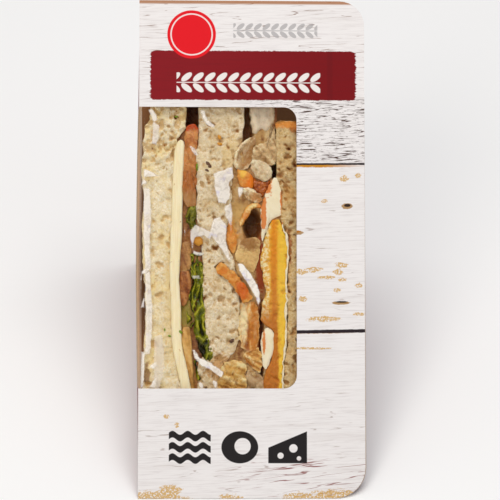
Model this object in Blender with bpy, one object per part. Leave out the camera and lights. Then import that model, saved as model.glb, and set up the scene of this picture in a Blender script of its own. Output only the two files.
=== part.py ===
# Club sandwich in a card wedge with a film window: three slices of bread with two layers of filling.
# Run it in Blender 4.5. Outlines are in millimetres on the sloped front panel: across from its left
# fold and down from its top edge, with inward as the depth behind its face. The model is in metres.

import math

import bmesh
import bpy
from mathutils import Vector, noise

MM = 0.001

# Card wedge
LEG = 127.0  # depth of the base, and height of the back
BODY_WIDTH = 66.0
PANEL_WIDTH = 81.5  # the front panel with the flat fin to the right of the body
BOARD = 0.5
SECOND_PLY_SHOWS = 0.3  # how far the ply behind the fin reaches past the first
FIN_TOP_RADIUS = 9.0
FIN_BOTTOM_RADIUS = 11.0
SIDE_BOW = 1.4  # how far the food pushes the left side out
SLOPE = LEG * math.sqrt(2)

# Window: cut in the front panel, and round the left fold into the side
WINDOW_TOP = 38.8
WINDOW_BOTTOM = 140.4
WINDOW_WIDTH = 56.9
WINDOW_RADIUS = 4.7
SIDE_WINDOW_DEPTH = 22.0
FILM = 0.2
FILM_GAP = 0.3
FILM_LAP = 4.5  # how far the film reaches behind the card

# Food: a square slice cut corner to corner
FACE = 2.3  # how far the cut face lies behind the face of the panel
SLICE_TOP = 8.0
SLICE_BOTTOM = 178.3
SLICE_CORNER = 14.0  # how softly the square corner of a slice turns

# Edges of the layers, as (down, across)
BREAD_LEFT_OUTER = [(12, 3.0), (47, 1.9), (109, 2.1), (174, 2.6)]
BREAD_LEFT_INNER = [
    (12, 16.2), (39, 16.6), (46, 16.4), (50, 13.4), (58, 12.4), (69, 11.9), (87, 11.3),
    (98, 11.0), (112, 11.6), (125, 12.0), (131, 13.2), (140, 15.2), (152, 17.0), (174, 18.0),
]
CHEESE_LEFT = [
    (50.5, 14.2), (58, 12.8), (69, 12.3), (87, 11.7), (98, 11.4), (112, 12.0),
    (125, 12.4), (131, 13.6), (140, 15.6), (152, 17.4), (172, 18.4),
]
CHEESE_RIGHT = [
    (50.5, 16.0), (58, 15.8), (69, 15.3), (87, 15.0), (98, 14.2), (112, 14.8),
    (125, 15.2), (131, 16.7), (140, 18.5), (152, 20.2), (172, 21.2),
]
BREAD_MIDDLE_LEFT = [
    (12, 22.5), (40, 21.8), (49, 21.8), (55, 21.1), (60, 20.9), (69, 21.4), (84, 21.7),
    (91, 23.4), (109, 23.7), (117, 24.6), (127, 25.2), (132, 22.0), (140, 21.6), (174, 23.0),
]
BREAD_MIDDLE_RIGHT = [
    (12, 37.0), (39, 37.5), (46, 37.5), (51, 36.6), (55, 35.0), (60, 33.7), (73, 33.0),
    (79, 31.6), (89, 31.2), (94, 34.0), (104, 35.6), (119, 35.8), (126, 35.0), (130, 31.0), (140, 27.8), (174, 30.0),
]
BREAD_RIGHT_LEFT = [
    (43.9, 50.0), (64, 50.8), (73, 51.9), (78, 52.0), (84, 54.0), (93, 54.9), (109, 54.4),
    (125, 54.2), (132, 53.2), (140, 53.0), (174, 53.5),
]
BREAD_RIGHT_OUTER = [(43.9, 63.0), (60, 64.3), (110, 64.6), (174, 64.0)]
YOLK_LEFT = [
    (79.4, 48.7), (83, 46.9), (87, 46.1), (92, 45.0), (100, 45.8), (105, 46.8), (113, 45.0),
    (117, 45.2), (119, 49.0), (125, 49.0), (130, 48.4), (134, 47.1), (140, 46.0), (172, 47.0),
]
YOLK_RIGHT = [
    (79.4, 49.8), (83, 51.4), (87, 52.9), (92, 53.1), (98, 52.6), (109, 52.5),
    (123, 52.2), (132, 51.4), (140, 51.0), (172, 51.5),
]

# Outlines of the pieces of filling on the cut face, as (across, down)
TOMATO = [(17.2, 45.8), (21.3, 46.2), (20.6, 54), (20.4, 62), (20.5, 73), (18.4, 74), (16.0, 72), (16.1, 60), (16.6, 51)]
RASHERS = [
    [(15.5, 88.6), (18.2, 88.4), (18.4, 93), (18.1, 97.0), (15.0, 97.4), (15.2, 93)],
    [(14.9, 99.2), (18.0, 98.8), (18.2, 104), (17.3, 109), (15.2, 109.6), (14.9, 104)],
    [(15.9, 119.5), (18.4, 119), (19.2, 127), (19.4, 133), (20.2, 140), (20.7, 147), (20.0, 147.5), (19.0, 140), (17.3, 131.5), (15.8, 125.5)],
]
BACON_FOLDS = [
    [(41.3, 33), (48.0, 33), (48.4, 42.6), (47.0, 46.6), (44.4, 45.9), (42.9, 47.2), (41.4, 46.2)],
    [(41.4, 49.4), (37.6, 52), (35.6, 54.6), (34.6, 57.4), (35.2, 59.6), (37, 61), (39.2, 59.9), (40.5, 57.5), (40.9, 54.2), (41.8, 51.3)],
    [(42.8, 52.4), (46.2, 52.0), (47.7, 48), (48.6, 44.8), (49.4, 49), (49.6, 54.8), (49.6, 57.6), (47.6, 59.0), (45.6, 58.4), (43.0, 57), (41.5, 57.1), (41.8, 54.6)],
    [(40.7, 59.2), (43.0, 58.5), (46.3, 60), (47.7, 62.1), (45.8, 64.4), (44.5, 65.1), (42.5, 62.6)],
    [(38.7, 68.6), (40.8, 68.5), (42.8, 69.9), (43.8, 71.9), (43.1, 73.2), (41.6, 72.5), (39.6, 71)],
    [(36.1, 90.2), (37.5, 87.6), (40.8, 86.3), (43.2, 87), (43.2, 91), (42.1, 95.2), (41.4, 97.8), (39.5, 97.1), (36.8, 95), (35.4, 92.4)],
    [(36.9, 110.2), (39, 109.4), (42.1, 110.2), (42.8, 116.1), (42.4, 124.6), (40.2, 126.6), (37.2, 124.8), (36.8, 117.9)],
    [(38.9, 128), (42.9, 126.2), (43.9, 130.4), (43.2, 134.2), (40.9, 132), (38.9, 130)],
    [(31.8, 131.4), (36.4, 130.8), (38.4, 133), (38.1, 140), (38.4, 150), (33, 153), (29.2, 148), (28.8, 140), (30.0, 134)],
    [(39.2, 134.4), (43.3, 135.6), (45.2, 139.5), (45.3, 149), (42, 152), (39.4, 149), (38.9, 141)],
]
YOLK_CRUMBLES = [
    [(36.0, 61.5), (37.5, 62.1), (39.9, 63.1), (41.0, 65.7), (40.5, 67.6), (38.4, 67.6), (36.7, 65.6)],
    [(32.4, 81.4), (33.6, 82), (34.5, 85.6), (35.0, 88.8), (34.2, 91.0), (32.9, 89.4), (32.2, 85.6)],
]
RELISH = [(41.8, 64.4), (43.2, 66.0), (44.6, 66.9), (46.9, 65.4), (45.9, 68.2), (44.5, 70.4), (43.4, 69.3), (42.0, 67.3)]
PRESSED_CRUMBLE = [(27.8, 97.5), (30, 95), (33.6, 95.3), (35.8, 98.2), (39.4, 102.9), (41.2, 107.2), (40.1, 110), (37.6, 109), (33.6, 104.3), (30, 101.8)]
EGG_WHITE_TOP = [(48.6, 64.7), (50.1, 65.3), (51.1, 69.3), (51.2, 75.8), (50.4, 77.7), (48.3, 78.4), (46.3, 81.4), (45.3, 86), (44.6, 86.6), (44.7, 80), (44.8, 75.6), (46.3, 69.6)]
EGG_WHITE_LOW = [(44.8, 121.1), (46.6, 119.2), (48.3, 120), (48.4, 124.2), (47.6, 128.4), (46.2, 132.8), (45.1, 132), (44.8, 126.8)]

# Paths of the thin pieces seen edge-on, as (across, down), with their thickness
CHAIN = [(44.0, 74.6), (41.2, 74.3), (39.2, 76.0), (37.7, 78.9), (36.2, 81.6)]
CHAIN_THICKNESS = 1.9
EGG_RIM = [(51.7, 80.2), (53.3, 85.8), (54.0, 92.6), (53.3, 99), (53.3, 109), (52.9, 123), (52.0, 133), (51.8, 141), (52.2, 165)]
EGG_RIM_THICKNESS = 0.6
LEAF_THICKNESS = 0.55
LEAVES = [
    [(19.3, 75.2), (18.3, 77.4), (18.8, 80.6), (19.6, 82.8), (20.4, 80.6), (20.5, 77.4)],
    [(19.6, 92.6), (20.4, 95.3), (19.3, 98.9), (20.1, 103.6), (18.8, 107), (18.4, 111), (17.6, 114.7), (17.4, 118)],
    [(22.6, 92.6), (21.5, 96.4), (22.8, 101.8), (21.6, 105.4), (22.9, 108.2), (21.2, 110.8), (23.6, 115.4), (21.4, 117.9), (23.4, 121.5), (22.0, 124.3), (24.2, 126.6)],
    [(20.4, 130.4), (20.2, 134), (20.6, 137.5)],
]


def panel_point(across, down, inward):
    return Vector((across * MM, -down * MM, -inward * MM))


def side_bow(down, inward):
    """How far the left side stands out, from nothing at its three folds to SIDE_BOW at its middle."""
    depth = SLOPE / 2
    to_front = inward / depth
    to_base = (down - inward) / SLOPE
    to_back = 1 - to_front - to_base
    return SIDE_BOW * 27 * max(to_front * to_base * to_back, 0.0)


def slice_depth(down):
    """Depth of a cut slice behind the panel's face, with its square corner rounded."""
    top, bottom = down - SLICE_TOP, SLICE_BOTTOM - down
    return (top + bottom - math.hypot(top - bottom, SLICE_CORNER)) / 2


def smooth_edge(points):
    """Function that gives the across place of an edge for any place down."""
    slopes = []
    for i in range(len(points)):
        before, after = points[max(i - 1, 0)], points[min(i + 1, len(points) - 1)]
        slopes.append((after[1] - before[1]) / (after[0] - before[0]))

    def across(down):
        i = 0
        while i < len(points) - 2 and down > points[i + 1][0]:
            i += 1
        (d0, a0), (d1, a1) = points[i], points[i + 1]
        span = d1 - d0
        s = min(max((down - d0) / span, 0.0), 1.0)
        start = a0 * (1 + 2 * s) * (1 - s) ** 2 + slopes[i] * span * s * (1 - s) ** 2
        end = a1 * s * s * (3 - 2 * s) - slopes[i + 1] * span * s * s * (1 - s)
        return start + end

    return across


def smooth_path(points, steps, closed):
    """The path through the points as Catmull-Rom curves, with steps places for each."""
    count = len(points)
    spans = count if closed else count - 1
    path = []
    for i in range(spans):
        if closed:
            around = [Vector(points[(i + k) % count]) for k in (-1, 0, 1, 2)]
        else:
            around = [Vector(points[min(max(i + k, 0), count - 1)]) for k in (-1, 0, 1, 2)]
        p0, p1, p2, p3 = around
        for k in range(steps):
            t = k / steps
            path.append(
                0.5 * (2 * p1 + (p2 - p0) * t + (2 * p0 - 5 * p1 + 4 * p2 - p3) * t**2
                       + (3 * p1 - p0 - 3 * p2 + p3) * t**3)
            )
    if not closed:
        path.append(Vector(points[-1]))
    return path


def relief(across, down, size, depth):
    """Crumb-like unevenness of a cut face, in millimetres."""
    place = Vector((across / size, down / size, 0.0))
    return depth * (noise.noise(place) + 0.5 * noise.noise(place * 2.3))


def material(name, colour, roughness):
    made = bpy.data.materials.new(name)
    made.use_nodes = True
    shader = made.node_tree.nodes["Principled BSDF"]
    shader.inputs["Base Color"].default_value = (*colour, 1.0)
    shader.inputs["Roughness"].default_value = roughness
    shader.inputs["Metallic"].default_value = 0.0
    made.diffuse_color = (*colour, 1.0)
    return made


def add_object(name, mesh_bm, parent, look=None):
    bmesh.ops.recalc_face_normals(mesh_bm, faces=mesh_bm.faces)
    mesh = bpy.data.meshes.new(name)
    mesh_bm.to_mesh(mesh)
    mesh_bm.free()
    piece = bpy.data.objects.new(name, mesh)
    bpy.context.scene.collection.objects.link(piece)
    piece.parent = parent
    if look:
        mesh.materials.append(look)
    return piece


def wedge(inset):
    """A wedge with its walls moved in by inset, and its left side bowed out."""
    bm = bmesh.new()
    near, far = inset * (1 + math.sqrt(2)), inset * math.sqrt(2)
    corners = [Vector((near, inset)), Vector((SLOPE - near, inset)), Vector((SLOPE / 2, SLOPE / 2 - far))]
    cells = 10
    grid = {}
    for i in range(cells + 1):
        for j in range(cells + 1 - i):
            k = cells - i - j
            down, inward = (corners[0] * k + corners[1] * i + corners[2] * j) / cells
            across = inset - side_bow(down, inward)
            grid[i, j] = bm.verts.new(panel_point(across, down, inward))
    for i in range(cells):
        for j in range(cells - i):
            bm.faces.new([grid[i, j], grid[i + 1, j], grid[i, j + 1]])
            if i + j < cells - 1:
                bm.faces.new([grid[i + 1, j], grid[i + 1, j + 1], grid[i, j + 1]])
    right = [bm.verts.new(panel_point(BODY_WIDTH - inset, *corner)) for corner in corners]
    bm.faces.new(right)
    front = [grid[i, 0] for i in range(cells + 1)]
    base = [grid[cells - j, j] for j in range(cells + 1)]
    back = [grid[0, cells - j] for j in range(cells + 1)]
    bm.faces.new(front + [right[1], right[0]])
    bm.faces.new(base + [right[2], right[1]])
    bm.faces.new(back + [right[0], right[2]])
    return bm


def arc(centre_across, centre_down, radius, start, end, steps=8):
    places = []
    for k in range(steps + 1):
        angle = math.radians(start + (end - start) * k / steps)
        places.append((centre_across + radius * math.cos(angle), centre_down + radius * math.sin(angle)))
    return places


def fin_ply(front, back, reach):
    """One ply of the fin, from its front depth to its back, out to reach at its right edge."""
    top, bottom = FIN_TOP_RADIUS, FIN_BOTTOM_RADIUS
    outline = [(BODY_WIDTH - 5, SLOPE), (BODY_WIDTH - 5, 0)]
    outline += arc(PANEL_WIDTH - top, top, top, -90, 0)
    outline += arc(PANEL_WIDTH + reach - bottom, SLOPE - bottom, bottom, 0, 90)
    bm = bmesh.new()
    rings = []
    for inward in (front, back):
        ring = []
        for across, down in outline:
            down = min(max(down, inward), SLOPE - inward)
            ring.append(bm.verts.new(panel_point(across, down, inward)))
        rings.append(ring)
    bridge(bm, rings, True)
    return bm


def bridge(bm, rings, caps):
    """Faces between rings of equal length, and over the first and last where caps is set."""
    for one, two in zip(rings, rings[1:]):
        for k in range(len(one)):
            after = (k + 1) % len(one)
            bm.faces.new([one[k], one[after], two[after], two[k]])
    if caps:
        bm.faces.new(list(reversed(rings[0])))
        bm.faces.new(rings[-1])


def window_cutter():
    outline = [(-6, WINDOW_BOTTOM), (-6, WINDOW_TOP)]
    outline += arc(WINDOW_WIDTH - WINDOW_RADIUS, WINDOW_TOP + WINDOW_RADIUS, WINDOW_RADIUS, -90, 0)
    outline += arc(WINDOW_WIDTH - WINDOW_RADIUS, WINDOW_BOTTOM - WINDOW_RADIUS, WINDOW_RADIUS, 0, 90)
    bm = bmesh.new()
    rings = [[bm.verts.new(panel_point(*place, inward)) for place in outline] for inward in (-2, BOARD * 1.5)]
    bridge(bm, rings, True)
    return bm


def side_cutter():
    top, bottom = WINDOW_TOP + 0.1, WINDOW_BOTTOM - 0.1
    outline = [(bottom, -1.5), (top, -1.5)]
    steps = 24
    for k in range(steps + 1):
        turn = math.pi * k / steps
        down = (top + bottom - (bottom - top) * math.cos(turn)) / 2
        outline.append((down, 0.1 + SIDE_WINDOW_DEPTH * math.sin(turn) ** 0.7))
    bm = bmesh.new()
    rings = [[bm.verts.new(panel_point(across, *place)) for place in outline] for across in (-6, BOARD * 3)]
    bridge(bm, rings, True)
    return bm


def cut_and_join(body, joined, cutters):
    """Applies one union with the joined pieces and a cut for each cutter, then removes them."""
    group = bpy.data.collections.new("joined_to_card")
    bpy.context.scene.collection.children.link(group)
    for piece in joined:
        bpy.context.scene.collection.objects.unlink(piece)
        group.objects.link(piece)
    union = body.modifiers.new("join", "BOOLEAN")
    union.operation = "UNION"
    union.operand_type = "COLLECTION"
    union.collection = group
    union.solver = "MANIFOLD"
    for cutter in cutters:
        cut = body.modifiers.new("cut", "BOOLEAN")
        cut.operation = "DIFFERENCE"
        cut.object = cutter
        cut.solver = "MANIFOLD"
    bpy.context.view_layer.update()
    graph = bpy.context.evaluated_depsgraph_get()
    result = bpy.data.meshes.new_from_object(body.evaluated_get(graph))
    body.modifiers.clear()
    body.data = result
    for piece in joined + cutters:
        bpy.data.objects.remove(piece, do_unlink=True)
    bpy.data.collections.remove(group)


def make_carton(frame, look):
    carton = add_object("carton", wedge(0.0), frame, look)
    plies = [
        add_object("fin_front", fin_ply(0.0, BOARD, 0.0), frame),
        add_object("fin_back", fin_ply(BOARD * 0.98, BOARD * 2, SECOND_PLY_SHOWS), frame),
    ]
    cutters = [
        add_object("inside", wedge(BOARD), frame),
        add_object("window", window_cutter(), frame),
        add_object("side_window", side_cutter(), frame),
    ]
    cut_and_join(carton, plies, cutters)
    return carton


def make_film(frame, look):
    """The film lies behind the window, turns with the left fold and lies behind the side window."""
    start = BOARD + FILM_GAP
    turn = 1.5
    lap_across = WINDOW_WIDTH + FILM_LAP
    side_depth = SIDE_WINDOW_DEPTH + FILM_LAP
    path = [(lap_across - (lap_across - start - turn) * k / 4, 0.0) for k in range(5)]
    path += [
        (start + turn - turn * math.sin(math.pi / 2 * k / 4), turn - turn * math.cos(math.pi / 2 * k / 4))
        for k in range(1, 4)
    ]
    path += [(start, turn + (side_depth - start - turn) * k / 8) for k in range(9)]
    normals = []
    for k, place in enumerate(path):
        before, after = path[max(k - 1, 0)], path[min(k + 1, len(path) - 1)]
        along = Vector((after[0] - before[0], after[1] - before[1])).normalized()
        normals.append(Vector((-along.y, along.x)))
    rows = 22
    bm = bmesh.new()
    layers = []
    for side in (0.0, FILM):
        layer = []
        for row in range(rows + 1):
            down = WINDOW_TOP - FILM_LAP + (WINDOW_BOTTOM - WINDOW_TOP + 2 * FILM_LAP) * row / rows
            line = []
            for place, normal in zip(path, normals):
                across, inward = place[0] - normal.x * side, start + place[1] - normal.y * side
                line.append(bm.verts.new(panel_point(across - side_bow(down, inward), down, inward)))
            layer.append(line)
        layers.append(layer)
    close_sheet(bm, layers)
    return add_object("window_film", bm, frame, look)


def close_sheet(bm, layers):
    """Triangles over both layers of a grid, split alike, and round its border."""
    rows, columns = len(layers[0]), len(layers[0][0])
    for layer in layers:
        for i in range(rows - 1):
            for j in range(columns - 1):
                a, b = layer[i][j], layer[i][j + 1]
                c, d = layer[i + 1][j + 1], layer[i + 1][j]
                bm.faces.new([a, b, c])
                bm.faces.new([a, c, d])
    border = [(0, j) for j in range(columns)] + [(i, columns - 1) for i in range(1, rows)]
    border += [(rows - 1, j) for j in range(columns - 2, -1, -1)] + [(i, 0) for i in range(rows - 2, 0, -1)]
    for k, (i, j) in enumerate(border):
        m, n = border[(k + 1) % len(border)]
        bm.faces.new([layers[0][i][j], layers[0][m][n], layers[1][m][n], layers[1][i][j]])


def make_slab(frame, name, left, right, look, rows, columns, rough, crust_top=0.0):
    """A layer that runs through the food, between its left and right edges on the cut face."""
    left_at, right_at = smooth_edge(left), smooth_edge(right)
    first, last = left[0][0], left[-1][0]
    bm = bmesh.new()
    rings = []
    for row in range(rows + 1):
        down = first + (last - first) * row / rows
        edge_left, edge_right = left_at(down), right_at(down)
        back = slice_depth(down)
        if crust_top:
            back = min(back, FACE + crust_top * math.sqrt(down - first + 0.6))
        ring = []
        for column in range(columns + 1):
            share = column / columns
            across = edge_left + (edge_right - edge_left) * share
            rounding = 0.5 * abs(2 * share - 1) ** 6
            inward = FACE + rounding + relief(across, down, 3.5, rough)
            ring.append(panel_point(across, down, min(inward, back - 0.3)))
        middle = (FACE + back) / 2
        ring.append(panel_point(edge_right, down, middle))
        ring.append(panel_point(edge_right, down, back))
        ring.append(panel_point(edge_left, down, back))
        ring.append(panel_point(edge_left, down, middle))
        rings.append([bm.verts.new(place) for place in ring])
    bridge(bm, rings, True)
    return add_object(name, bm, frame, look)


def make_chunk(frame, name, outline, look, front=FACE, rough=0.25, back=None):
    """A piece of filling: its outline on the cut face, run inward to the back of the slices."""
    places = smooth_path(outline, 2, True)
    centre = sum(places, Vector((0.0, 0.0))) / len(places)
    bm = bmesh.new()
    rings = []
    for size, drop in ((0.45, 0.0), (0.82, 0.1), (1.0, 0.6)):
        ring = []
        for place in places:
            across, down = centre + (place - centre) * size
            inward = front + (drop if back is None else drop * 0.3) + relief(across, down, 2.5, rough)
            ring.append(bm.verts.new(panel_point(across, down, inward)))
        rings.append(ring)
    deep = []
    for across, down in places:
        deep.append(bm.verts.new(panel_point(across, down, slice_depth(down) if back is None else back)))
    rings.append(deep)
    bridge(bm, rings, False)
    tip = bm.verts.new(panel_point(*centre, front + relief(*centre, 2.5, rough)))
    end = bm.verts.new(panel_point(*centre, slice_depth(centre.y) if back is None else back))
    for k in range(len(places)):
        after = (k + 1) % len(places)
        bm.faces.new([tip, rings[0][after], rings[0][k]])
        bm.faces.new([end, deep[k], deep[after]])
    return add_object(name, bm, frame, look)


def make_sheet(frame, name, path, thickness, look, wave=0.0, front=FACE):
    """A thin wavy piece seen edge-on, run inward from its path on the cut face."""
    places = smooth_path(path, 3, False)
    normals = []
    for k, place in enumerate(places):
        along = (places[min(k + 1, len(places) - 1)] - places[max(k - 1, 0)]).normalized()
        normals.append(Vector((-along.y, along.x)))
    shares = (0.0, 0.06, 0.2, 0.55, 1.0)
    bm = bmesh.new()
    layers = []
    for side in (-0.5, 0.5):
        layer = []
        for share in shares:
            line = []
            for k, (place, normal) in enumerate(zip(places, normals)):
                back = slice_depth(place.y) - 1.0
                lip = 0.5 * math.sin(1.9 * k) * wave
                inward = front + lip * (1 - share) + (back - front) * share
                shift = normal * (side * thickness + wave * 0.25 * math.sin(1.3 * k + 9 * share) * (share < 0.5))
                line.append(bm.verts.new(panel_point(place.x + shift.x, place.y + shift.y, inward)))
            layer.append(line)
        layers.append(layer)
    close_sheet(bm, layers)
    return add_object(name, bm, frame, look)


def main():
    for piece in list(bpy.data.objects):
        bpy.data.objects.remove(piece, do_unlink=True)

    frame = bpy.data.objects.new("front_panel_frame", None)
    bpy.context.scene.collection.objects.link(frame)
    total_width = PANEL_WIDTH + SECOND_PLY_SHOWS + SIDE_BOW
    frame.location = ((SIDE_BOW - total_width / 2) * MM, LEG / 2 * MM, LEG * MM)
    frame.rotation_euler = (math.radians(45), 0, 0)

    card = material("printed_card", (0.80, 0.77, 0.74), 0.55)
    film = material("clear_film", (0.90, 0.91, 0.90), 0.1)
    bread = material("bread_crumb", (0.72, 0.60, 0.42), 0.9)
    cheese = material("cheese", (0.85, 0.72, 0.42), 0.5)
    tomato = material("tomato", (0.55, 0.16, 0.08), 0.35)
    bacon = material("bacon", (0.45, 0.30, 0.17), 0.5)
    leaf = material("lettuce", (0.22, 0.33, 0.03), 0.5)
    white = material("egg_white", (0.82, 0.72, 0.56), 0.35)
    yolk = material("egg_yolk", (0.80, 0.40, 0.05), 0.6)
    relish = material("relish", (0.40, 0.12, 0.02), 0.35)

    make_carton(frame, card)
    make_film(frame, film)
    make_slab(frame, "bread_left", BREAD_LEFT_OUTER, BREAD_LEFT_INNER, bread, 38, 8, 0.35)
    make_slab(frame, "bread_middle", BREAD_MIDDLE_LEFT, BREAD_MIDDLE_RIGHT, bread, 38, 8, 0.35)
    make_slab(frame, "bread_right", BREAD_RIGHT_LEFT, BREAD_RIGHT_OUTER, bread, 32, 7, 0.35, crust_top=9.0)
    make_slab(frame, "cheese_slice", CHEESE_LEFT, CHEESE_RIGHT, cheese, 28, 3, 0.08)
    make_slab(frame, "egg_yolk", YOLK_LEFT, YOLK_RIGHT, yolk, 36, 4, 0.2)
    make_chunk(frame, "tomato_slice", TOMATO, tomato, rough=0.12)
    for number, outline in enumerate(RASHERS, 1):
        make_chunk(frame, f"bacon_rasher_{number}", outline, bacon, front=FACE + 0.4)
    for number, outline in enumerate(BACON_FOLDS, 1):
        make_chunk(frame, f"bacon_fold_{number}", outline, bacon, front=FACE + 0.3)
    for number, outline in enumerate(YOLK_CRUMBLES, 1):
        make_chunk(frame, f"yolk_crumble_{number}", outline, yolk)
    make_chunk(frame, "yolk_crumble_pressed", PRESSED_CRUMBLE, yolk, front=1.25, rough=0.05, back=1.7)
    make_chunk(frame, "relish", RELISH, relish)
    make_chunk(frame, "egg_white_top", EGG_WHITE_TOP, white, rough=0.12)
    make_chunk(frame, "egg_white_low", EGG_WHITE_LOW, white, rough=0.12)
    make_sheet(frame, "egg_white_rim", EGG_RIM, EGG_RIM_THICKNESS, white)
    make_sheet(frame, "bacon_strip", CHAIN, CHAIN_THICKNESS, bacon)
    for number, path in enumerate(LEAVES, 1):
        make_sheet(frame, f"lettuce_leaf_{number}", path, LEAF_THICKNESS, leaf, wave=0.8)


main()
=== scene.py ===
# Club sandwich in a printed card wedge: the card, its film window, the cut bread and two layers of filling.
# Places on the pack are in millimetres on the sloped front panel: across from its left fold, down from
# its top edge, and inward as the depth behind its face.
import math
from types import SimpleNamespace

import bmesh
import bpy
import numpy as np
from mathutils import Matrix, Vector


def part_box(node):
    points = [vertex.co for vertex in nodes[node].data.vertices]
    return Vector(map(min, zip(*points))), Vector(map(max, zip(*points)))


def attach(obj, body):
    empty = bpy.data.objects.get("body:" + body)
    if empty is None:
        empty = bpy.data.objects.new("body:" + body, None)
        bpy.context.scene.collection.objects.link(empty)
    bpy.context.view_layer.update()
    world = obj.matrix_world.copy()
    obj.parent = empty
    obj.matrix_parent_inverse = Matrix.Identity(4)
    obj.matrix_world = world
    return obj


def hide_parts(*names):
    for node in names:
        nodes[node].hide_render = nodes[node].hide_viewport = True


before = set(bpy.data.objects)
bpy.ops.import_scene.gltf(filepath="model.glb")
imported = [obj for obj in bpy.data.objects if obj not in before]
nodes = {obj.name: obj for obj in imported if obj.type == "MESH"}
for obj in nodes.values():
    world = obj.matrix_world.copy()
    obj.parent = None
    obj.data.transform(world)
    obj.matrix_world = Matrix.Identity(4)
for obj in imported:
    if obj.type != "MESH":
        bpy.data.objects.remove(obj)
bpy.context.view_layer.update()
print("frame loaded with", len(nodes), "nodes")

slant = math.sqrt(0.5)
panel = {
    "width": 81.5,        # front panel with its fin
    "plyShows": 0.3,      # the ply behind the fin reaches this much further
    "bodyWidth": 66.0,
    "board": 0.5,
    "windowTop": 38.8,
    "windowBottom": 140.4,
    "windowWidth": 56.9,
    "face": 2.3,          # depth of the cut face of the food
}
cardLow, cardHigh = (Vector(corner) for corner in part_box("carton"))
cardSlope = (cardHigh.z - cardLow.z) * 1000 * math.sqrt(2)
foldX = cardHigh.x - (panel["width"] + panel["plyShows"]) / 1000


def toRoom(across, down, inward):
    # millimetres on the panel to metres in the room, for numbers or arrays
    across, down, inward = np.broadcast_arrays(np.asarray(across, float), down, inward)
    x = foldX + across / 1000
    y = cardHigh.y + (inward - down) * slant / 1000
    z = cardHigh.z - (inward + down) * slant / 1000
    return np.stack([x, y, z], axis=-1)


def toPanel(places):
    x, y, z = ((places - (foldX, cardHigh.y, cardHigh.z)) * 1000).T
    return np.stack([x, -(y + z) * slant, (y - z) * slant], axis=-1)


def nodePlaces(name):
    mesh = nodes[name].data
    flat = np.empty(len(mesh.vertices) * 3)
    mesh.vertices.foreach_get("co", flat)
    return toPanel(flat.reshape(-1, 3))


def stacked(*channels):
    # places, and after them what the material reads there, side by side in one array
    return np.stack(np.broadcast_arrays(*channels), axis=-1)


# Noise worked out in numpy, so that it is the same on each run
def valueNoise(places, seed):
    cell = np.floor(places).astype(np.int64)
    part = places - cell
    part = part * part * (3 - 2 * part)
    total = 0
    for corner in np.ndindex(2, 2, 2):
        n = (cell[..., 0] + corner[0]) * 374761393 + (cell[..., 1] + corner[1]) * 668265263
        n = (n + (cell[..., 2] + corner[2]) * 1440662683 + seed * 974634777) & 0x7FFFFFFF
        n = ((n ^ (n >> 13)) * 1274126177) & 0x7FFFFFFF
        share = 1
        for axis in range(3):
            share = share * (part[..., axis] if corner[axis] else 1 - part[..., axis])
        total = total + share * (((n ^ (n >> 16)) & 0xFFFFFF) / 0xFFFFFF)
    return total * 2 - 1


def uneven(across, down, inward, size, octaves, seed):
    # unevenness, mostly between -1 and 1, with its coarsest bumps size millimetres wide; each octave is
    # about half as wide as the last, a little moved, and weighs 0.55 of it
    places = stacked(np.asarray(across, float), down, inward) / size
    total, weight, reach = 0, 1.0, 0
    for octave in range(octaves):
        total = total + weight * valueNoise(places * 2.03**octave + 17.3 * octave, seed + octave)
        reach += weight
        weight *= 0.55
    return total / reach * 1.5


def smoothStep(low, high, value):
    share = np.clip((value - low) / (high - low), 0, 1)
    return share * share * (3 - 2 * share)


# What the CAD says of each slice: its edges and its depth at each place down
def edgesOf(name):
    places = nodePlaces(name)
    places = places[np.argsort(places[:, 1])]
    breaks = np.flatnonzero(np.diff(places[:, 1]) > 0.05) + 1
    rows = np.split(places, breaks)
    return np.array([(row[:, 1].mean(), row[:, 0].min(), row[:, 0].max(), row[:, 2].max()) for row in rows]).T


sliceStations = edgesOf("bread_left")


def sliceBack(down):
    return np.interp(down, sliceStations[0], sliceStations[3]) - 0.3


def evenly(points, count, closed=False):
    # places at even steps along a line, and how far along it each one is
    if closed:
        points = np.vstack([points, points[:1]])
    length = np.concatenate([[0], np.cumsum(np.hypot(*np.diff(points, axis=0).T))])
    at = np.linspace(0, length[-1], count, endpoint=not closed)
    return stacked(*(np.interp(at, length, column) for column in points.T)), at


def outlineOf(name, count=96):
    # the outline of a piece of filling, from the deep end of its solid
    places = nodePlaces(name)
    deep = places[places[:, 2] > 9][:, :2]
    reach = np.hypot(*(deep - deep.mean(axis=0)).T)
    deep = deep[reach > 0.35 * np.median(reach)]
    centre = deep.mean(axis=0)
    turn = np.arctan2(deep[:, 1] - centre[1], deep[:, 0] - centre[0])
    line = evenly(deep[np.argsort(turn)], count, closed=True)[0]
    for _ in range(2):  # rounds the corners of the coarse outline
        line = (np.roll(line, 1, axis=0) + 2 * line + np.roll(line, -1, axis=0)) / 4
    return centre, line


def borderOf(name):
    if name in ("bread_left", "bread_middle", "bread_right", "cheese_slice", "egg_yolk"):
        stations = edgesOf(name)
        down = np.arange(stations[0][0], stations[0][-1], 0.4)
        return np.vstack([stacked(np.interp(down, stations[0], stations[side]), down) for side in (1, 2)])
    if name.startswith(("lettuce", "bacon_strip", "egg_white_rim", "yolk_crumble_pressed")):
        return nodePlaces(name)[:, :2]
    return outlineOf(name)[1]


borders = {name: borderOf(name) for name in nodes if name not in ("carton", "window_film")}


def growth(name, line, most):
    # how far each place of an outline can spread to fill half the gap to the pieces beside it
    others = np.vstack([places for other, places in borders.items() if other not in (name, "egg_white_rim")])
    gap = np.sqrt(((line[:, None, :] - others[None, :, :]) ** 2).sum(axis=2)).min(axis=1)
    return np.clip(gap / 2 + 0.16, 0, most)


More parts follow.
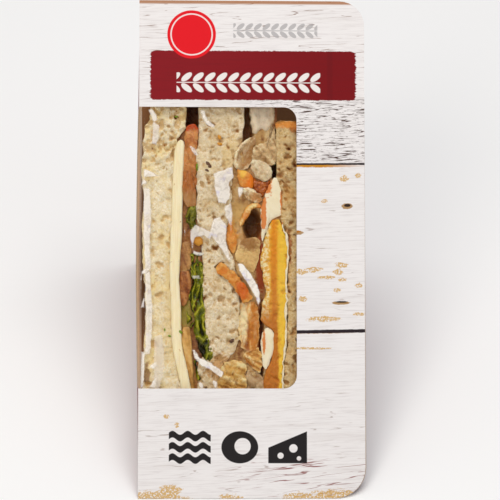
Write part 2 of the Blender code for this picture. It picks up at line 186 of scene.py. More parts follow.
# Materials: arithmetic on a node's output adds the nodes that work it out
class Wire:
    def __init__(self, socket):
        self.socket = socket

    def __add__(self, other):
        return add("Math", self, other, operation="ADD")

    def __sub__(self, other):
        return add("Math", self, other, operation="SUBTRACT")

    def __rsub__(self, other):
        return add("Math", other, self, operation="SUBTRACT")

    def __mul__(self, other):
        kind = "VectorMath" if isinstance(other, tuple) else "Math"
        return add(kind, self, other, operation="MULTIPLY")

    def __truediv__(self, other):
        return add("Math", self, other, operation="DIVIDE")

    def __or__(self, other):  # the larger of two shares
        return add("Math", self, other, operation="MAXIMUM")

    def __abs__(self):
        return add("Math", self, operation="ABSOLUTE")


nodeStarts = {  # settings, the sockets that links fill in order, and the output that is read
    "Mix": ({"data_type": "RGBA"}, (0, 6, 7), 2),
    "MapRange": ({"interpolation_type": "SMOOTHSTEP"}, range(5), 0),
    "TexNoise": ({}, ("Vector", "Scale", "Detail", "Roughness", "Distortion"), 0),
    "TexCoord": ({}, (), "Object"),
    "TexVoronoi": ({}, ("Vector", "Scale"), "Color"),
    "Attribute": ({}, (), "Fac"),
}
tree = None  # the node tree of the material in hand


def linear(hexColour):
    # sRGB hex to the linear values that Blender's sockets take
    parts = [int(hexColour[i : i + 2], 16) / 255 for i in (1, 3, 5)]
    return tuple(c / 12.92 if c <= 0.04045 else ((c + 0.055) / 1.055) ** 2.4 for c in parts) + (1.0,)


def add(kind, *links, **settings):
    # adds a node: links fill its sockets in order, settings are properties, or sockets with a capital
    made = tree.nodes.new("ShaderNode" + kind)
    start, sockets, read = nodeStarts.get(kind, ({}, range(len(links)), 0))
    for key, value in {**start, **settings, **dict(zip(sockets, links))}.items():
        if str(key)[0].islower():
            setattr(made, key, value)
            continue
        socket = made.inputs[key if isinstance(key, int) else key.replace("_", " ")]
        if isinstance(value, Wire):
            tree.links.new(value.socket, socket)
        else:
            socket.default_value = linear(value) if isinstance(value, str) else value
    return Wire(made.outputs[read]) if made.outputs else made


def startMaterial(name):
    # nodes added from here on are this material's; gives the place on the panel in mm, whole and in parts
    global tree
    material = bpy.data.materials.new(name)
    material.use_nodes = True
    tree = material.node_tree
    tree.nodes.clear()
    moved = add("VectorMath", add("TexCoord"), (foldX, cardHigh.y, cardHigh.z), operation="SUBTRACT")
    turned = add("VectorRotate", Vector=moved, Angle=math.radians(-45), rotation_type="X_AXIS")
    mm = turned * (1000.0, -1000.0, -1000.0)
    across, down, inward = (Wire(output) for output in add("SeparateXYZ", mm).socket.node.outputs)
    return SimpleNamespace(material=material, mm=mm, across=across, down=down, inward=inward)


def finish(at, colour, roughness, height=None, reliefMm=0.1, soft=None, **more):
    # a Principled surface; soft is how much light passes through, how many mm deep and in which colours
    if height is not None:
        more["Normal"] = add("Bump", Height=height, Distance=reliefMm / 1000)
    if soft:
        more.update(Subsurface_Weight=soft[0], Subsurface_Scale=soft[1] / 1000, Subsurface_Radius=soft[2])
    more = {"Base_Color": colour, "Roughness": roughness, "Specular_IOR_Level": 0.22, **more}
    add("OutputMaterial", Surface=add("BsdfPrincipled", **more))
    return at.material


def tinted(colour, *layers):
    # lays tints on a colour one after the other, each where its share says
    for share, tint in layers:
        colour = add("Mix", share, colour, tint)
    return colour


def strip(value, low, high, soft):
    # 1 between low and high, fading over soft
    return add("MapRange", value, low - soft, low + soft) - add("MapRange", value, high - soft, high + soft)


def away(x, y):
    # how far a place lies from where both are 0
    return add("Math", x * x + y * y, operation="SQRT")


def spot(at, place, ragged=0.0, soft=0.12):
    # 1 inside an ellipse, given by its middle and its two half sizes, fading over a share of them
    distance = away((at.across - place[0]) / place[2], (at.down - place[1]) / place[3])
    return add("MapRange", distance + ragged, 1.0 + soft, 1.0 - soft)


def stained(at, colour, stains, ragged, soft=0.12):
    # lays stains on a colour: each has its ellipse, its tint and its strength
    return tinted(colour, *((spot(at, place, ragged, soft) * share, tint) for place, tint, share in stains))


# Meshes from arrays
def loftFaces(rows, around):
    # quads between rows of places, closed round each row
    faces = []
    for i in range(rows - 1):
        for j in range(around):
            here, k = i * around, (j + 1) % around
            faces.append((here + j, here + k, here + around + k, here + around + j))
    return faces


def tubeFaces(rows, around):
    # rows closed at both ends by one face
    last = range((rows - 1) * around, rows * around)
    return loftFaces(rows, around) + [tuple(range(around - 1, -1, -1)), tuple(last)]


def domeFaces(rows, around):
    # rows closed at both ends by a fan to one of the two places after them
    faces, last = loftFaces(rows, around), (rows - 1) * around
    for j in range(around):
        k = (j + 1) % around
        faces += [(rows * around, k, j), (rows * around + 1, last + j, last + k)]
    return faces


def sheetFaces(rows, columns):
    # both sides of a thin sheet, front places first, and the edge between them
    faces, half = [], rows * columns
    for i in range(rows - 1):
        for a in range(i * columns, (i + 1) * columns - 1):
            quad = (a, a + 1, a + columns + 1, a + columns)
            faces += [quad, tuple(half + place for place in reversed(quad))]
    edge = [*range(columns), *range(2 * columns - 1, half, columns)]
    edge += [*range(half - 2, half - columns - 1, -1), *range(half - 2 * columns, 0, -columns)]
    for one, two in zip(edge, edge[1:] + edge[:1]):
        faces.append((two, one, half + one, half + two))
    return faces


def link(name, data):
    made = bpy.data.objects.new(name, data)
    bpy.context.scene.collection.objects.link(made)
    return made


def stand(piece, slotName, *replaced):
    # a piece of the scene rides on the one body and stands for its CAD nodes
    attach(piece, "root")
    if replaced:
        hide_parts(*replaced)


def makeMesh(name, grid, faces, material, slotName, *replaced, reads=()):
    # a piece from places on the panel; the columns after them are named for the material
    flat = grid.reshape(-1, grid.shape[-1])
    mesh = bpy.data.meshes.new(name)
    mesh.from_pydata(toRoom(*flat[:, :3].T).tolist(), [], faces)
    mesh.validate()
    for key, column in zip(reads, flat[:, 3:].T):
        layer = mesh.attributes.new(key, "FLOAT", "POINT")
        layer.data.foreach_set("value", column.astype(np.float32))
    mesh.polygons.foreach_set("use_smooth", [True] * len(mesh.polygons))
    mesh.materials.append(material)
    bm = bmesh.new()
    bm.from_mesh(mesh)
    bmesh.ops.recalc_face_normals(bm, faces=bm.faces)
    bm.to_mesh(mesh)
    bm.free()
    stand(link(name, mesh), slotName, *replaced)


# Camera, lights and floor
camera = {
    "aside": -30.0,       # mm left of the panel's middle, so that the side window's edge shows
    "below": 54.0,        # mm down the slope from the point straight above the panel's middle
    "away": 800.0,
    "aimAcross": -0.7,
    "aimDown": 0.8,
    "lens": 160.4,
}


def makeCamera():
    middleAcross, middleDown = panel["width"] / 2, cardSlope / 2
    place = Vector(toRoom(middleAcross + camera["aside"], middleDown + camera["below"], -camera["away"]))
    aim = Vector(toRoom(middleAcross + camera["aimAcross"], middleDown + camera["aimDown"], 0.0))
    data = bpy.data.cameras.new("photoCamera")
    data.lens = camera["lens"]
    data.sensor_width = 36
    made = link("photoCamera", data)
    forward = (aim - place).normalized()
    right = forward.cross(Vector((0, slant, slant))).normalized()
    made.matrix_world = Matrix((right, right.cross(forward), -forward)).transposed().to_4x4()
    made.location = place
    bpy.context.scene.camera = made


studio = {
    "sky": 0.37,
    "skyTint": "#f7f8fa",
    "floor": "#fbfaf9",
    "floorHalf": 4.0,     # metres
    "lights": (           # name, place, width, height, power and tint
        ("keySoftbox", (-0.55, -0.75, 0.95), 0.6, 0.6, 4.2, "#fffaf2"),
        ("fillSoftbox", (0.8, -0.7, 0.6), 0.7, 0.7, 1.2, "#f6f9ff"),
        ("topSoftbox", (0.05, 0.15, 1.1), 0.8, 0.5, 6.2, "#ffffff"),
    ),
}


def makeStudio():
    world = bpy.data.worlds.new("studio")
    world.use_nodes = True
    background = world.node_tree.nodes["Background"]
    background.inputs["Color"].default_value = linear(studio["skyTint"])
    background.inputs["Strength"].default_value = studio["sky"]
    bpy.context.scene.world = world
    middle = Vector(toRoom(panel["width"] / 2, cardSlope / 2, 0.0))
    for name, place, width, height, power, tint in studio["lights"]:
        data = bpy.data.lights.new(name, "AREA")
        data.shape = "RECTANGLE"
        data.size, data.size_y = width, height
        data.energy = power
        data.color = linear(tint)[:3]
        made = link(name, data)
        made.location = place
        made.rotation_euler = (middle - Vector(place)).to_track_quat("-Z", "Y").to_euler()
    bm = bmesh.new()
    bmesh.ops.create_grid(bm, x_segments=8, y_segments=8, size=studio["floorHalf"])
    mesh = bpy.data.meshes.new("studioFloor")
    bm.to_mesh(mesh)
    bm.free()
    emulsion = finish(startMaterial("paintedStudioFloor"), studio["floor"], 0.85)  # matt, an even pale sweep
    mesh.materials.append(emulsion)
    floor = link("studioFloor", mesh)
    floor.location.z = cardLow.z - 0.0002
    bpy.context.scene.view_settings.view_transform = "Standard"


makeCamera()
makeStudio()
print("camera, lights and floor made")


# Card: coated board, printed on its outside and bare kraft within
cardLook = {
    "white": "#f0ebe9",
    "whiteShade": "#ddd6d4",
    "crack": "#50392e",
    "gapDark": "#2a2025",
    "gold": "#d0a040",
    "banner": "#86101a",
    "bannerRight": "#7a0810",
    "maroon": "#7d1c27",
    "kraft": "#c99c70",
    "cutEdge": "#c9b39d",
    "bandMiddle": (41.2, 27.3),
    "bandHalf": (35.4, 7.2),
    "softFold": 0.16,     # mm
    "gaps": (             # place down, half width, lean, width of the ochre below
        (59.4, 0.34, 0.006, 0.9), (119.9, 0.62, 0.018, 0.3),
    ),
    "knots": (            # middle, half sizes and heart
        (75.2, 74.7, 2.0, 1.1, "#33231c"), (73.0, 109.6, 3.6, 0.6, "#33231c"),
        (56.8, 84.3, 2.6, 0.8, "#b5701c"),
    ),
    "flakes": (           # middle and half sizes
        (58.6, 98.4, 2.6, 0.9), (63.2, 97.6, 2.2, 1.0), (73.0, 96.0, 2.4, 0.8), (71.9, 98.6, 1.6, 1.1),
        (67.8, 100.4, 2.8, 0.6), (73.4, 101.2, 1.4, 0.6), (59.0, 108.2, 1.4, 0.9), (71.4, 105.0, 1.2, 0.7),
        (79.2, 103.2, 1.4, 0.9), (66.6, 115.4, 5.4, 0.9), (79.0, 113.6, 1.8, 0.6), (67.0, 72.8, 1.1, 0.6),
        (74.0, 64.6, 1.6, 1.1), (79.2, 63.6, 1.0, 0.8), (61.0, 126.0, 7.0, 0.4), (6.0, 179.4, 10.0, 2.4),
        (11.4, 177.0, 3.6, 2.0), (33.0, 180.0, 4.2, 1.8), (58.0, 179.8, 5.5, 2.2), (71.0, 179.2, 9.0, 2.4),
        (10.0, 150.3, 0.9, 0.8), (13.8, 153.4, 0.8, 0.9),
    ),
    "seal": (18.9, 12.4),
    "rashers": ((156.2, 158.6), (160.2, 162.6), (164.2, 166.6)),
    "egg": (36.4, 161.4),
    "cheeseHoles": ((51.0, 164.4, 1.1), (55.6, 161.8, 1.5), (57.6, 165.4, 0.8)),
}


def hairlines(place, scale, width, share):
    # thin wavy cracks along the contours of a stretched noise, broken where a second noise is low
    field = add("TexNoise", place, scale, 2.0, 0.5, 0.25)
    broken = add("TexNoise", place, scale * 1.9, 3.0, 0.6)
    line = add("MapRange", abs(field - 0.5), width, width * 0.35)
    return line * add("MapRange", broken, 0.62 - share, 0.72 - share)


def paintedBoards(at, place, stretched, fine):
    # whitewashed boards: long grain, cracks, ochre flakes, dark gaps and small knots
    across, down = at.across, at.down
    broad = add("TexNoise", stretched, 0.28, 3.0)
    smudge = add("TexNoise", stretched, 0.9, 5.0, 0.7)
    patch = add("TexNoise", at.mm, 0.05, 2.0)
    ragged = (add("TexNoise", at.mm, 0.55, 4.0, 0.6) - 0.5) * 0.9

    # dense short cracks beside the window's top, few and thin elsewhere
    rough = strip(down, 35.8, 59.0, 1.2) * add("MapRange", across, 30.0, 58.0)
    long, short = place * (0.085, 1.0, 1.0), place * (0.17, 1.3, 1.0)
    cracks = hairlines(long, 0.8, 0.042, 0.17) | hairlines(short, 1.2, 0.05, 0.1)
    lower = add("MapRange", down, 60.0, 62.0) * add("MapRange", patch, 0.45, 0.6) * 0.5
    thin = hairlines(long, 0.36, 0.014, 0.12) * (strip(down, -2.0, 36.0, 1.0) * 0.8 | lower)
    rising = hairlines(add("CombineXYZ", across * 0.07, down + across * 0.13, 0.0), 0.5, 0.024, 0.2)
    foot = strip(down, 166.0, 179.0, 1.5) * add("MapRange", across, 24.0, 50.0)

    # ochre undercoat in flakes: at places of its own and thickly along the bottom
    torn = (add("TexNoise", at.mm * (0.55, 1.2, 1.0), 0.75, 4.0, 0.65) - 0.52) * 2.4
    flaked = 0.0
    for flake in cardLook["flakes"]:
        flaked = spot(at, flake, torn) | flaked
    flaked = flaked * add("MapRange", add("TexNoise", at.mm, 1.6, 3.0, 0.6), 0.38, 0.52)
    colour = tinted(
        cardLook["white"],
        (add("MapRange", fine, 0.45, 0.75), cardLook["whiteShade"]),
        (add("MapRange", broad, 0.5, 0.75) * 0.35, "#d6cdc9"),
        (add("MapRange", smudge, 0.5, 0.78) * rough * 0.5, "#b3a4a0"),
        (cracks * rough, cardLook["crack"]),
        (thin, "#8a6a5a"),
        (rising * foot, "#94605c"),
        (flaked * 0.85, cardLook["gold"]),
        (add("MapRange", down, 1.6, 0.8) * 0.85, "#a8641f"),  # worn top edge
    )

    # gaps between the boards: dark with an ochre lower edge
    for level, half, lean, glow in cardLook["gaps"]:
        line = down + across * lean + ragged
        start = level + 68 * lean
        gold = strip(line, start + half * 0.6, start + half * 0.6 + glow, 0.2)
        gold = gold * add("MapRange", across, 84.0, 66.0)
        gap = strip(line - ragged * 0.6, start - half, start + half, 0.12)
        colour = tinted(colour, (gold, "#c9861f"), (gap, cardLook["gapDark"]))
    for x, y, wide, high, heartTint in cardLook["knots"]:
        knot = spot(at, (x, y, wide, high), ragged * 1.1)
        heart = spot(at, (x, y - 0.35, wide * 0.6, high * 0.5), ragged)
        colour = tinted(colour, (knot * 0.9, "#a87c3a"), (heart, heartTint))
    return colour


def brushedBand(at, stretched):
    # where the brushed band lies, with round dry corners, and its colour
    edge = (add("TexNoise", at.mm, 0.6, 5.0, 0.65) - 0.5) * 1.1
    x = abs(at.across - cardLook["bandMiddle"][0]) - cardLook["bandHalf"][0] | 0.0
    y = abs(at.down - cardLook["bandMiddle"][1]) - cardLook["bandHalf"][1] | 0.0
    bristle = (add("TexNoise", stretched, 1.6, 4.0, 0.7) - 0.5) * (x * 1.4)
    stroke = add("TexNoise", stretched, 0.9, 4.0, 0.6)
    colour = tinted(
        cardLook["banner"],
        (add("MapRange", at.across, 20.0, 72.0), cardLook["bannerRight"]),
        (add("MapRange", stroke, 0.45, 0.8) * 0.3, "#66101a"),
        (strip(at.across, 68.0, 70.0, 0.3) * 0.25, "#5a0a12"),
    )
    return add("MapRange", away(x, y) + edge + bristle, 1.92, 1.62), colour


def disc(at, place, radius, squash=1.0):
    # 1 inside a printed disc with a crisp edge
    edge = away(at.across - place[0], (at.down - place[1]) * squash)
    return add("MapRange", edge, radius + 0.1, radius - 0.1)


def pictures(at):
    # three plain signs for what is inside: wavy rashers, an egg and a wedge of cheese
    bent = at.down + add("Math", at.across * 1.15, operation="SINE") * 0.7
    egg = cardLook["egg"]
    signs = disc(at, egg, 6.6, 1.15) - disc(at, (egg[0] + 1.0, egg[1] - 0.4), 2.9)
    for low, high in cardLook["rashers"]:
        signs = signs | strip(bent, low, high, 0.1) * strip(at.across, 11.0, 26.0, 0.1)
    slope = at.down - (60.5 - at.across) * 0.42
    wedge = strip(at.across, 46.6, 60.5, 0.1) * add("MapRange", slope, 155.6, 155.8)
    wedge = wedge * add("MapRange", at.down, 167.2, 167.0)
    for x, y, radius in cardLook["cheeseHoles"]:
        wedge = wedge - disc(at, (x, y), radius)
    return signs | wedge


def earRow(at, left, right, middle, half):
    # a row of slanted grains along a thin stem, like an ear of wheat laid on its side
    pitch = half * 1.25
    far = abs(at.down - middle)
    leaned = at.across - left - far * 0.75
    x = (add("Math", leaned, pitch, operation="FLOORED_MODULO") - pitch / 2) / (pitch * 0.36)
    y = (far - half * 0.58) / (half * 0.5)
    grain = add("MapRange", x * x + y * y, 1.1, 0.8)
    return (grain | add("MapRange", far, 0.22, 0.12)) * strip(at.across, left, right, 0.15)


def printMaterial():
    # clay-coated carton board under a matt varnish: whitewashed boards with a brushed band
    at = startMaterial("printedCartonBoard")
    place = add("CombineXYZ", at.across, at.down + at.across * 0.035, 0.0)
    stretched = place * (0.07, 1.3, 1.0)
    fine = add("TexNoise", stretched, 1.4, 6.0, 0.62)  # grain about 0.4 mm apart and 15 mm long
    seal = cardLook["seal"]
    colour = tinted(
        paintedBoards(at, place, stretched, fine),
        brushedBand(at, stretched),
        (earRow(at, 13.5, 65.5, 29.9, 3.4), "#efe7e2"),
        (earRow(at, 34.0, 64.5, 10.9, 2.5) * 0.75, "#a9a5a5"),
        (disc(at, seal, 8.8), "#e5121f"),
        ((disc(at, seal, 7.7) - disc(at, seal, 7.2)) * 0.9, "#f3e9e6"),
        (pictures(at), "#231f20"),
    )

    # only the front carries the print: the other outer faces are plain maroon with the same grain
    plain = tinted(cardLook["maroon"], (add("MapRange", fine, 0.4, 0.75) * 0.4, "#5f121c"))
    colour = tinted(plain, (add("MapRange", at.inward, 0.06, 0.02), colour))
    fibre = add("TexNoise", at.mm, 3.5, 3.0, 0.6)  # paper fibres about 0.3 mm across
    roughness = add("MapRange", fibre, 0.3, 0.7, 0.42, 0.56, interpolation_type="LINEAR")
    return finish(at, colour, roughness, fibre, 0.012, Specular_IOR_Level=0.16)


def kraftMaterial():
    # uncoated kraft back of the board: brown, fibrous, no gloss, with a painted glow: it emits a little light
    # all over, more near the left side, standing for daylight through the thin board
    at = startMaterial("kraftBoardInside")
    fibre = add("TexNoise", at.mm, 2.2, 5.0, 0.65)
    patch = add("TexNoise", at.mm, 0.15, 3.0)
    colour = tinted("#a87a52", (fibre, cardLook["kraft"]), (patch * 0.4, "#8a5f3e"))
    # painted light: the inside glows everywhere, and more towards the left side and the front
    side = add("MapRange", at.across, 0.62, 0.52)
    near = add("MapRange", at.inward, 80.0, 30.0)
    paintedGlowColour = tinted(colour, (side * near, "#cbb89c"))
    glow = side * (near * 0.45 + 0.04) + 0.1
    return finish(at, colour, 0.9, fibre, 0.03, Emission_Color=paintedGlowColour, Emission_Strength=glow)


def cutEdgeMaterial():
    # die-cut edge of the board: pale compressed fibre in thin layers
    at = startMaterial("cutBoardEdge")
    layers = add("TexNoise", at.mm, 4.0, 4.0, 0.6)
    return finish(at, tinted("#b29a84", (layers, cardLook["cutEdge"])), 0.85, layers, 0.03)


def makeCard():
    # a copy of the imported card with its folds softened, printed outside and bare within
    mesh = nodes["carton"].data.copy()
    mesh.name = "cardWedge"
    mesh.materials.clear()
    for material in (printMaterial(), kraftMaterial(), cutEdgeMaterial()):
        mesh.materials.append(material)
    bm = bmesh.new()
    bm.from_mesh(mesh)
    bmesh.ops.remove_doubles(bm, verts=bm.verts, dist=1e-6)
    bmesh.ops.dissolve_limit(bm, angle_limit=math.radians(0.3), verts=bm.verts, edges=bm.edges)
    body = panel["bodyWidth"]
    for face in bm.faces:
        across, down, inward = toPanel(np.array([face.calc_center_median()]))[0]
        normal = face.normal
        facing = (normal.y - normal.z) * slant  # 1 where a face looks into the pack
        outside = (
            (facing < -0.9 and inward < 0.1)                                  # front
            or (facing > 0.9 and across > body - 0.1)                         # back of the fin
            or (normal.z < -0.9 and abs(inward - (cardSlope - down)) < 0.2)   # base
            or (normal.y > 0.9 and abs(inward - down) < 0.2)                  # upright back
            or (normal.x < -0.8 and inward > 0.05 and across < 0.2)           # left side
            or (normal.x > 0.9 and abs(across - body) < 0.1)                  # right side
        )
        behind = inward > panel["board"] * 0.9 and -5 < across < body - panel["board"] * 0.9
        inside = behind and face.calc_area() > 1.5e-5
        innerSide = normal.x > 0.8 and across < 0.7 and inward > 1.0
        face.material_index = 0 if outside else 1 if inside or innerSide else 2
    bm.to_mesh(mesh)
    bm.free()
    card = link("cardWedge", mesh)
    bevel = card.modifiers.new("softFolds", "BEVEL")
    bevel.width = cardLook["softFold"] / 1000
    bevel.segments = 2
    bevel.limit_method = "ANGLE"
    bevel.angle_limit = math.radians(40)
    stand(card, "printed_card", "carton")


makeCard()
print("card made")


# Slices: bread with its open crumb, the cheese and the yolk
crumb = {
    "cellMm": 0.2,        # fineness of the relief map
    "down": (30.0, 150.0),
    "across": (0.0, 67.0),
    "tornMm": 0.55,       # how far the pores are pulled out of round
    "pores": (            # number, least and most size, and depth
        (4200, 0.25, 0.7, 0.45), (620, 0.5, 1.2, 1.0), (100, 0.8, 2.0, 1.9),
    ),
}


def crumbMap(seed):
    # depth of the pores over the whole window, in millimetres, and how much painted shade darkens each
    random = np.random.default_rng(seed)
    cell = crumb["cellMm"]
    pull = crumb["tornMm"] / cell
    rows, columns = (int((high - low) / cell) for low, high in (crumb["down"], crumb["across"]))
    y, x = np.mgrid[0:rows, 0:columns]
    downAt = y + pull * uneven(x * cell, y * cell, 0.0, 1.4, 3, seed + 1)
    acrossAt = x + pull * uneven(x * cell, y * cell, 9.0, 1.4, 3, seed + 2)
    depth, poreShade = np.zeros((2, rows, columns))
    for count, least, most, deep in crumb["pores"]:
        for _ in range(count):
            row, column = random.uniform(0, rows), random.uniform(0, columns)
            long = random.uniform(least, most) / cell
            short = long * random.uniform(0.4, 0.85)
            turn = random.uniform(0, math.pi)
            darkness = random.uniform(0.1, 1.0) ** 1.6
            reach = int(long * 1.4 + 0.9 / cell) + 1
            box = tuple(slice(max(int(place) - reach, 0), int(place) + reach + 1) for place in (row, column))
            y, x = downAt[box] - row, acrossAt[box] - column
            a = (x * math.cos(turn) + y * math.sin(turn)) / long
            b = (y * math.cos(turn) - x * math.sin(turn)) / short
            off = a * a + b * b
            pit = deep * (long * cell / most) * np.sqrt(np.clip(1 - off, 0, 1))
            depth[box] = np.maximum(depth[box], pit)
            poreShade[box] = np.maximum(poreShade[box], darkness * np.clip(1.05 - off, 0, 1))
    return depth, poreShade


poreMap = crumbMap(4)


def readMap(field, across, down):
    # the map's value at places between its cells
    y = np.clip((down - crumb["down"][0]) / crumb["cellMm"], 0, field.shape[0] - 1.001)
    x = np.clip((across - crumb["across"][0]) / crumb["cellMm"], 0, field.shape[1] - 1.001)
    r, c = y.astype(int), x.astype(int)
    fy, fx = y - r, x - c
    top = field[r, c] * (1 - fx) + field[r, c + 1] * fx
    low = field[r + 1, c] * (1 - fx) + field[r + 1, c + 1] * fx
    return top * (1 - fy) + low * fy


slabUsual = {             # bread; what differs for a piece is in its own dictionary
    "stepMm": 0.3,        # fineness where the window shows it
    "coarseMm": 1.6,
    "shown": (36.5, 143.0),
    "spread": 0.5,        # how far it can fill the gaps beside it
    "wiggle": 0.38,       # unevenness of its edges
    "inset": None,        # how far it is torn away along its left edge, at places down
    "roundTop": 0.0,
    "raggedTop": 0.0,
    "round": 0.7,         # how far the edges of the cut face fall back
    "lumps": 0.4,
    "mounds": 0.4,
    "grain": 0.5,
    "grainMm": 1.7,
    "tornShade": 1.1,
    "poreDepth": 1.0,
    "calm": None,         # where the knife pressed the pores shut, and by how much
    "sideRelief": 0.25,
    "nearest": 1.32,      # keeps it behind the film
}
sideSteps = np.array([0.25, 0.6, 1.1, 1.8, 2.8, 4.2, 6.5, 10.0, 16.0, 26.0, 45.0])  # mm behind the face


def slabSide(edge, down, start, back, out, relief, seed):
    # one side of a slice, from its cut face to its crust
    steps = sideSteps * np.minimum(1, np.clip(back - start - 0.3, 0.1, None) / sideSteps[-1])
    inward = start + steps
    bump = relief * uneven(edge, down, inward, 2.2, 3, seed)
    crust = smoothStep(0, 1, 1 - np.clip((back - inward) / 3.0, 0, 1))
    across = edge - out + bump * np.exp(-steps / 12)
    return stacked(across, down, inward, np.clip(bump * 2, 0, 1), 0.0, crust)


def makeSlab(name, node, material, slotName, seed, own):
    # a slice rebuilt finely on its CAD edges: the cut face, both sides and the crust behind
    slab = SimpleNamespace(**{**slabUsual, **own})
    stations = edgesOf(node)
    top, foot = stations[0][0], stations[0][-1]
    first, last = max(top, slab.shown[0]), slab.shown[1]
    hidden = np.arange(top, first, slab.coarseMm), np.arange(last, foot - 0.1, slab.coarseMm)
    down = np.concatenate([hidden[0], np.arange(first, last, slab.stepMm), hidden[1], [foot]])
    left, right, back = (np.interp(down, stations[0], edge) for edge in stations[1:])
    left = left - growth(node, stacked(left, down), slab.spread)
    right = right + growth(node, stacked(right, down), slab.spread)
    if slab.inset:
        left = np.maximum(left + np.interp(down, *np.array(slab.inset).T), 1.15)
    if slab.roundTop:
        share = np.clip((down - top) / slab.roundTop, 0, 1)
        squeeze = 0.12 + 0.88 * np.sqrt(1 - (1 - share) ** 2)
        middle = (left + right) / 2
        left, right = (middle + (edge - middle) * squeeze for edge in (left, right))
    left = left + slab.wiggle * uneven(0.0, down, 3.0, 2.6, 3, seed)
    right = right + slab.wiggle * uneven(9.0, down, 3.0, 2.6, 3, seed + 5)
    share = np.linspace(0, 1, max(int((right - left).max() / slab.stepMm), 6))
    left, right, back, down = (edge[:, None] for edge in (left, right, back, down))
    across = left + (right - left) * share

    # relief of the cut face: pores, torn grain and broad mounds
    torn = uneven(across, down, 2.0, slab.grainMm, 4, seed + 13)
    pit, poreShade = np.zeros((2, *across.shape))
    if slab.poreDepth:
        window = smoothStep(34, 38, down) * (1 - smoothStep(141, 146, down))
        if slab.calm:
            low, high, most = slab.calm
            shut = smoothStep(low - 4, low + 4, down) * (1 - smoothStep(high - 6, high + 6, down))
            window = window * (1 - most * shut)
            torn = torn * (2.6 - 1.9 * smoothStep(54, 64, down))
        pit, poreShade = (readMap(field, across, down) * window for field in poreMap)
    face = panel["face"] + slab.round * np.abs(2 * share - 1) ** 7 + slab.poreDepth * pit
    face = face + slab.lumps * uneven(across, down, 1.0, 6.5, 2, seed + 9) + slab.grain * torn
    face = face + slab.mounds * uneven(across, down, 4.0, 3.4, 2, seed + 17)
    face = np.minimum(np.maximum(face, slab.nearest), back - 0.4)
    # painted shade also goes where the torn grain sinks deepest
    pit = pit + np.clip(torn - 0.15, 0, 1) * slab.tornShade
    ragged = slab.raggedTop * uneven(across, 0.0, 0.0, 1.6, 3, seed + 31) * np.exp((top - down) / 2.5)
    behind = np.linspace(1, 0, 9)[1:-1]
    bulge = 0.25 * (1 - (2 * behind - 1) ** 2)
    grid = np.concatenate([
        stacked(across, down + ragged, face, np.clip(pit, 0, 2), poreShade, 0.0),
        slabSide(right, down, face[:, -1:], back, 0.12, slab.sideRelief, seed + 21),
        stacked(left + (right - left) * behind, down, back - 0.25 + bulge, 0.0, 0.0, 1.0),
        slabSide(left, down, face[:, :1], back, -0.12, slab.sideRelief, seed + 21)[:, ::-1],
    ], axis=1)
    faces = tubeFaces(*grid.shape[:2])
    makeMesh(name, grid, faces, material, slotName, node, reads=("pit", "poreShade", "crust"))


breads = {                # tints are crumb, shade, warm patches, then hollows, pores and the deepest pores, which are painted shade
    "breadLeft": {
        "node": "bread_left",
        "seed": 30,
        "tints": ("#f7ecd4", "#e5cfa0", "#efd491", "#cfa769", "#a2672a", "#5d3616"),
        "warmth": 0.75,
        "dullness": 0.15,
        "stains": (((12.5, 108, 3.2, 26), "#e2c484", 0.6), ((2.9, 135.4, 1.2, 3.6), "#8a5a2c", 0.8)),
        "shape": {
            "calm": (62, 142, 0.45),
            "inset": (
                (36, 2.4), (43, 2.2), (45.5, 0.4), (47, 0.8), (51, 0.0), (56, 0.3), (60, -0.5), (66, 0.0),
                (70, 0.35), (75, 0.2), (79, -0.6), (92, -0.6), (99, 0.2), (104, 0.8), (112, 0.8), (120, 0.6),
                (127, 0.2), (132, -0.4), (150, 0.0),
            ),
        },
    },
    "breadMiddle": {
        "node": "bread_middle",
        "seed": 37,
        "tints": ("#f3e6cd", "#dcc499", "#e6c88b", "#c29a62", "#96602c", "#5d3616"),
        "warmth": 0.25,
        "dullness": 0.6,
        "stains": (((33.5, 56, 3.5, 7), "#e0bd78", 0.5), ((31.5, 134, 6, 6), "#c4893f", 0.7)),
        "shape": {},
    },
    "breadRight": {
        "node": "bread_right",
        "seed": 44,
        "tints": ("#e3cda0", "#c8a468", "#cd9c58", "#a87336", "#7d461a", "#4a280e"),
        "warmth": 0.35,
        "dullness": 0.75,
        "stains": (
            ((53.8, 90, 1.4, 6), "#9a4a18", 0.8), ((55.5, 44.8, 7, 1.5), "#dd8c3a", 0.95),
            ((59.0, 46.6, 4.5, 1.0), "#c46c28", 0.7), ((54.6, 70, 2.2, 3), "#c08a44", 0.6),
        ),
        "shape": {"spread": 0.9, "raggedTop": 0.9},
    },
}


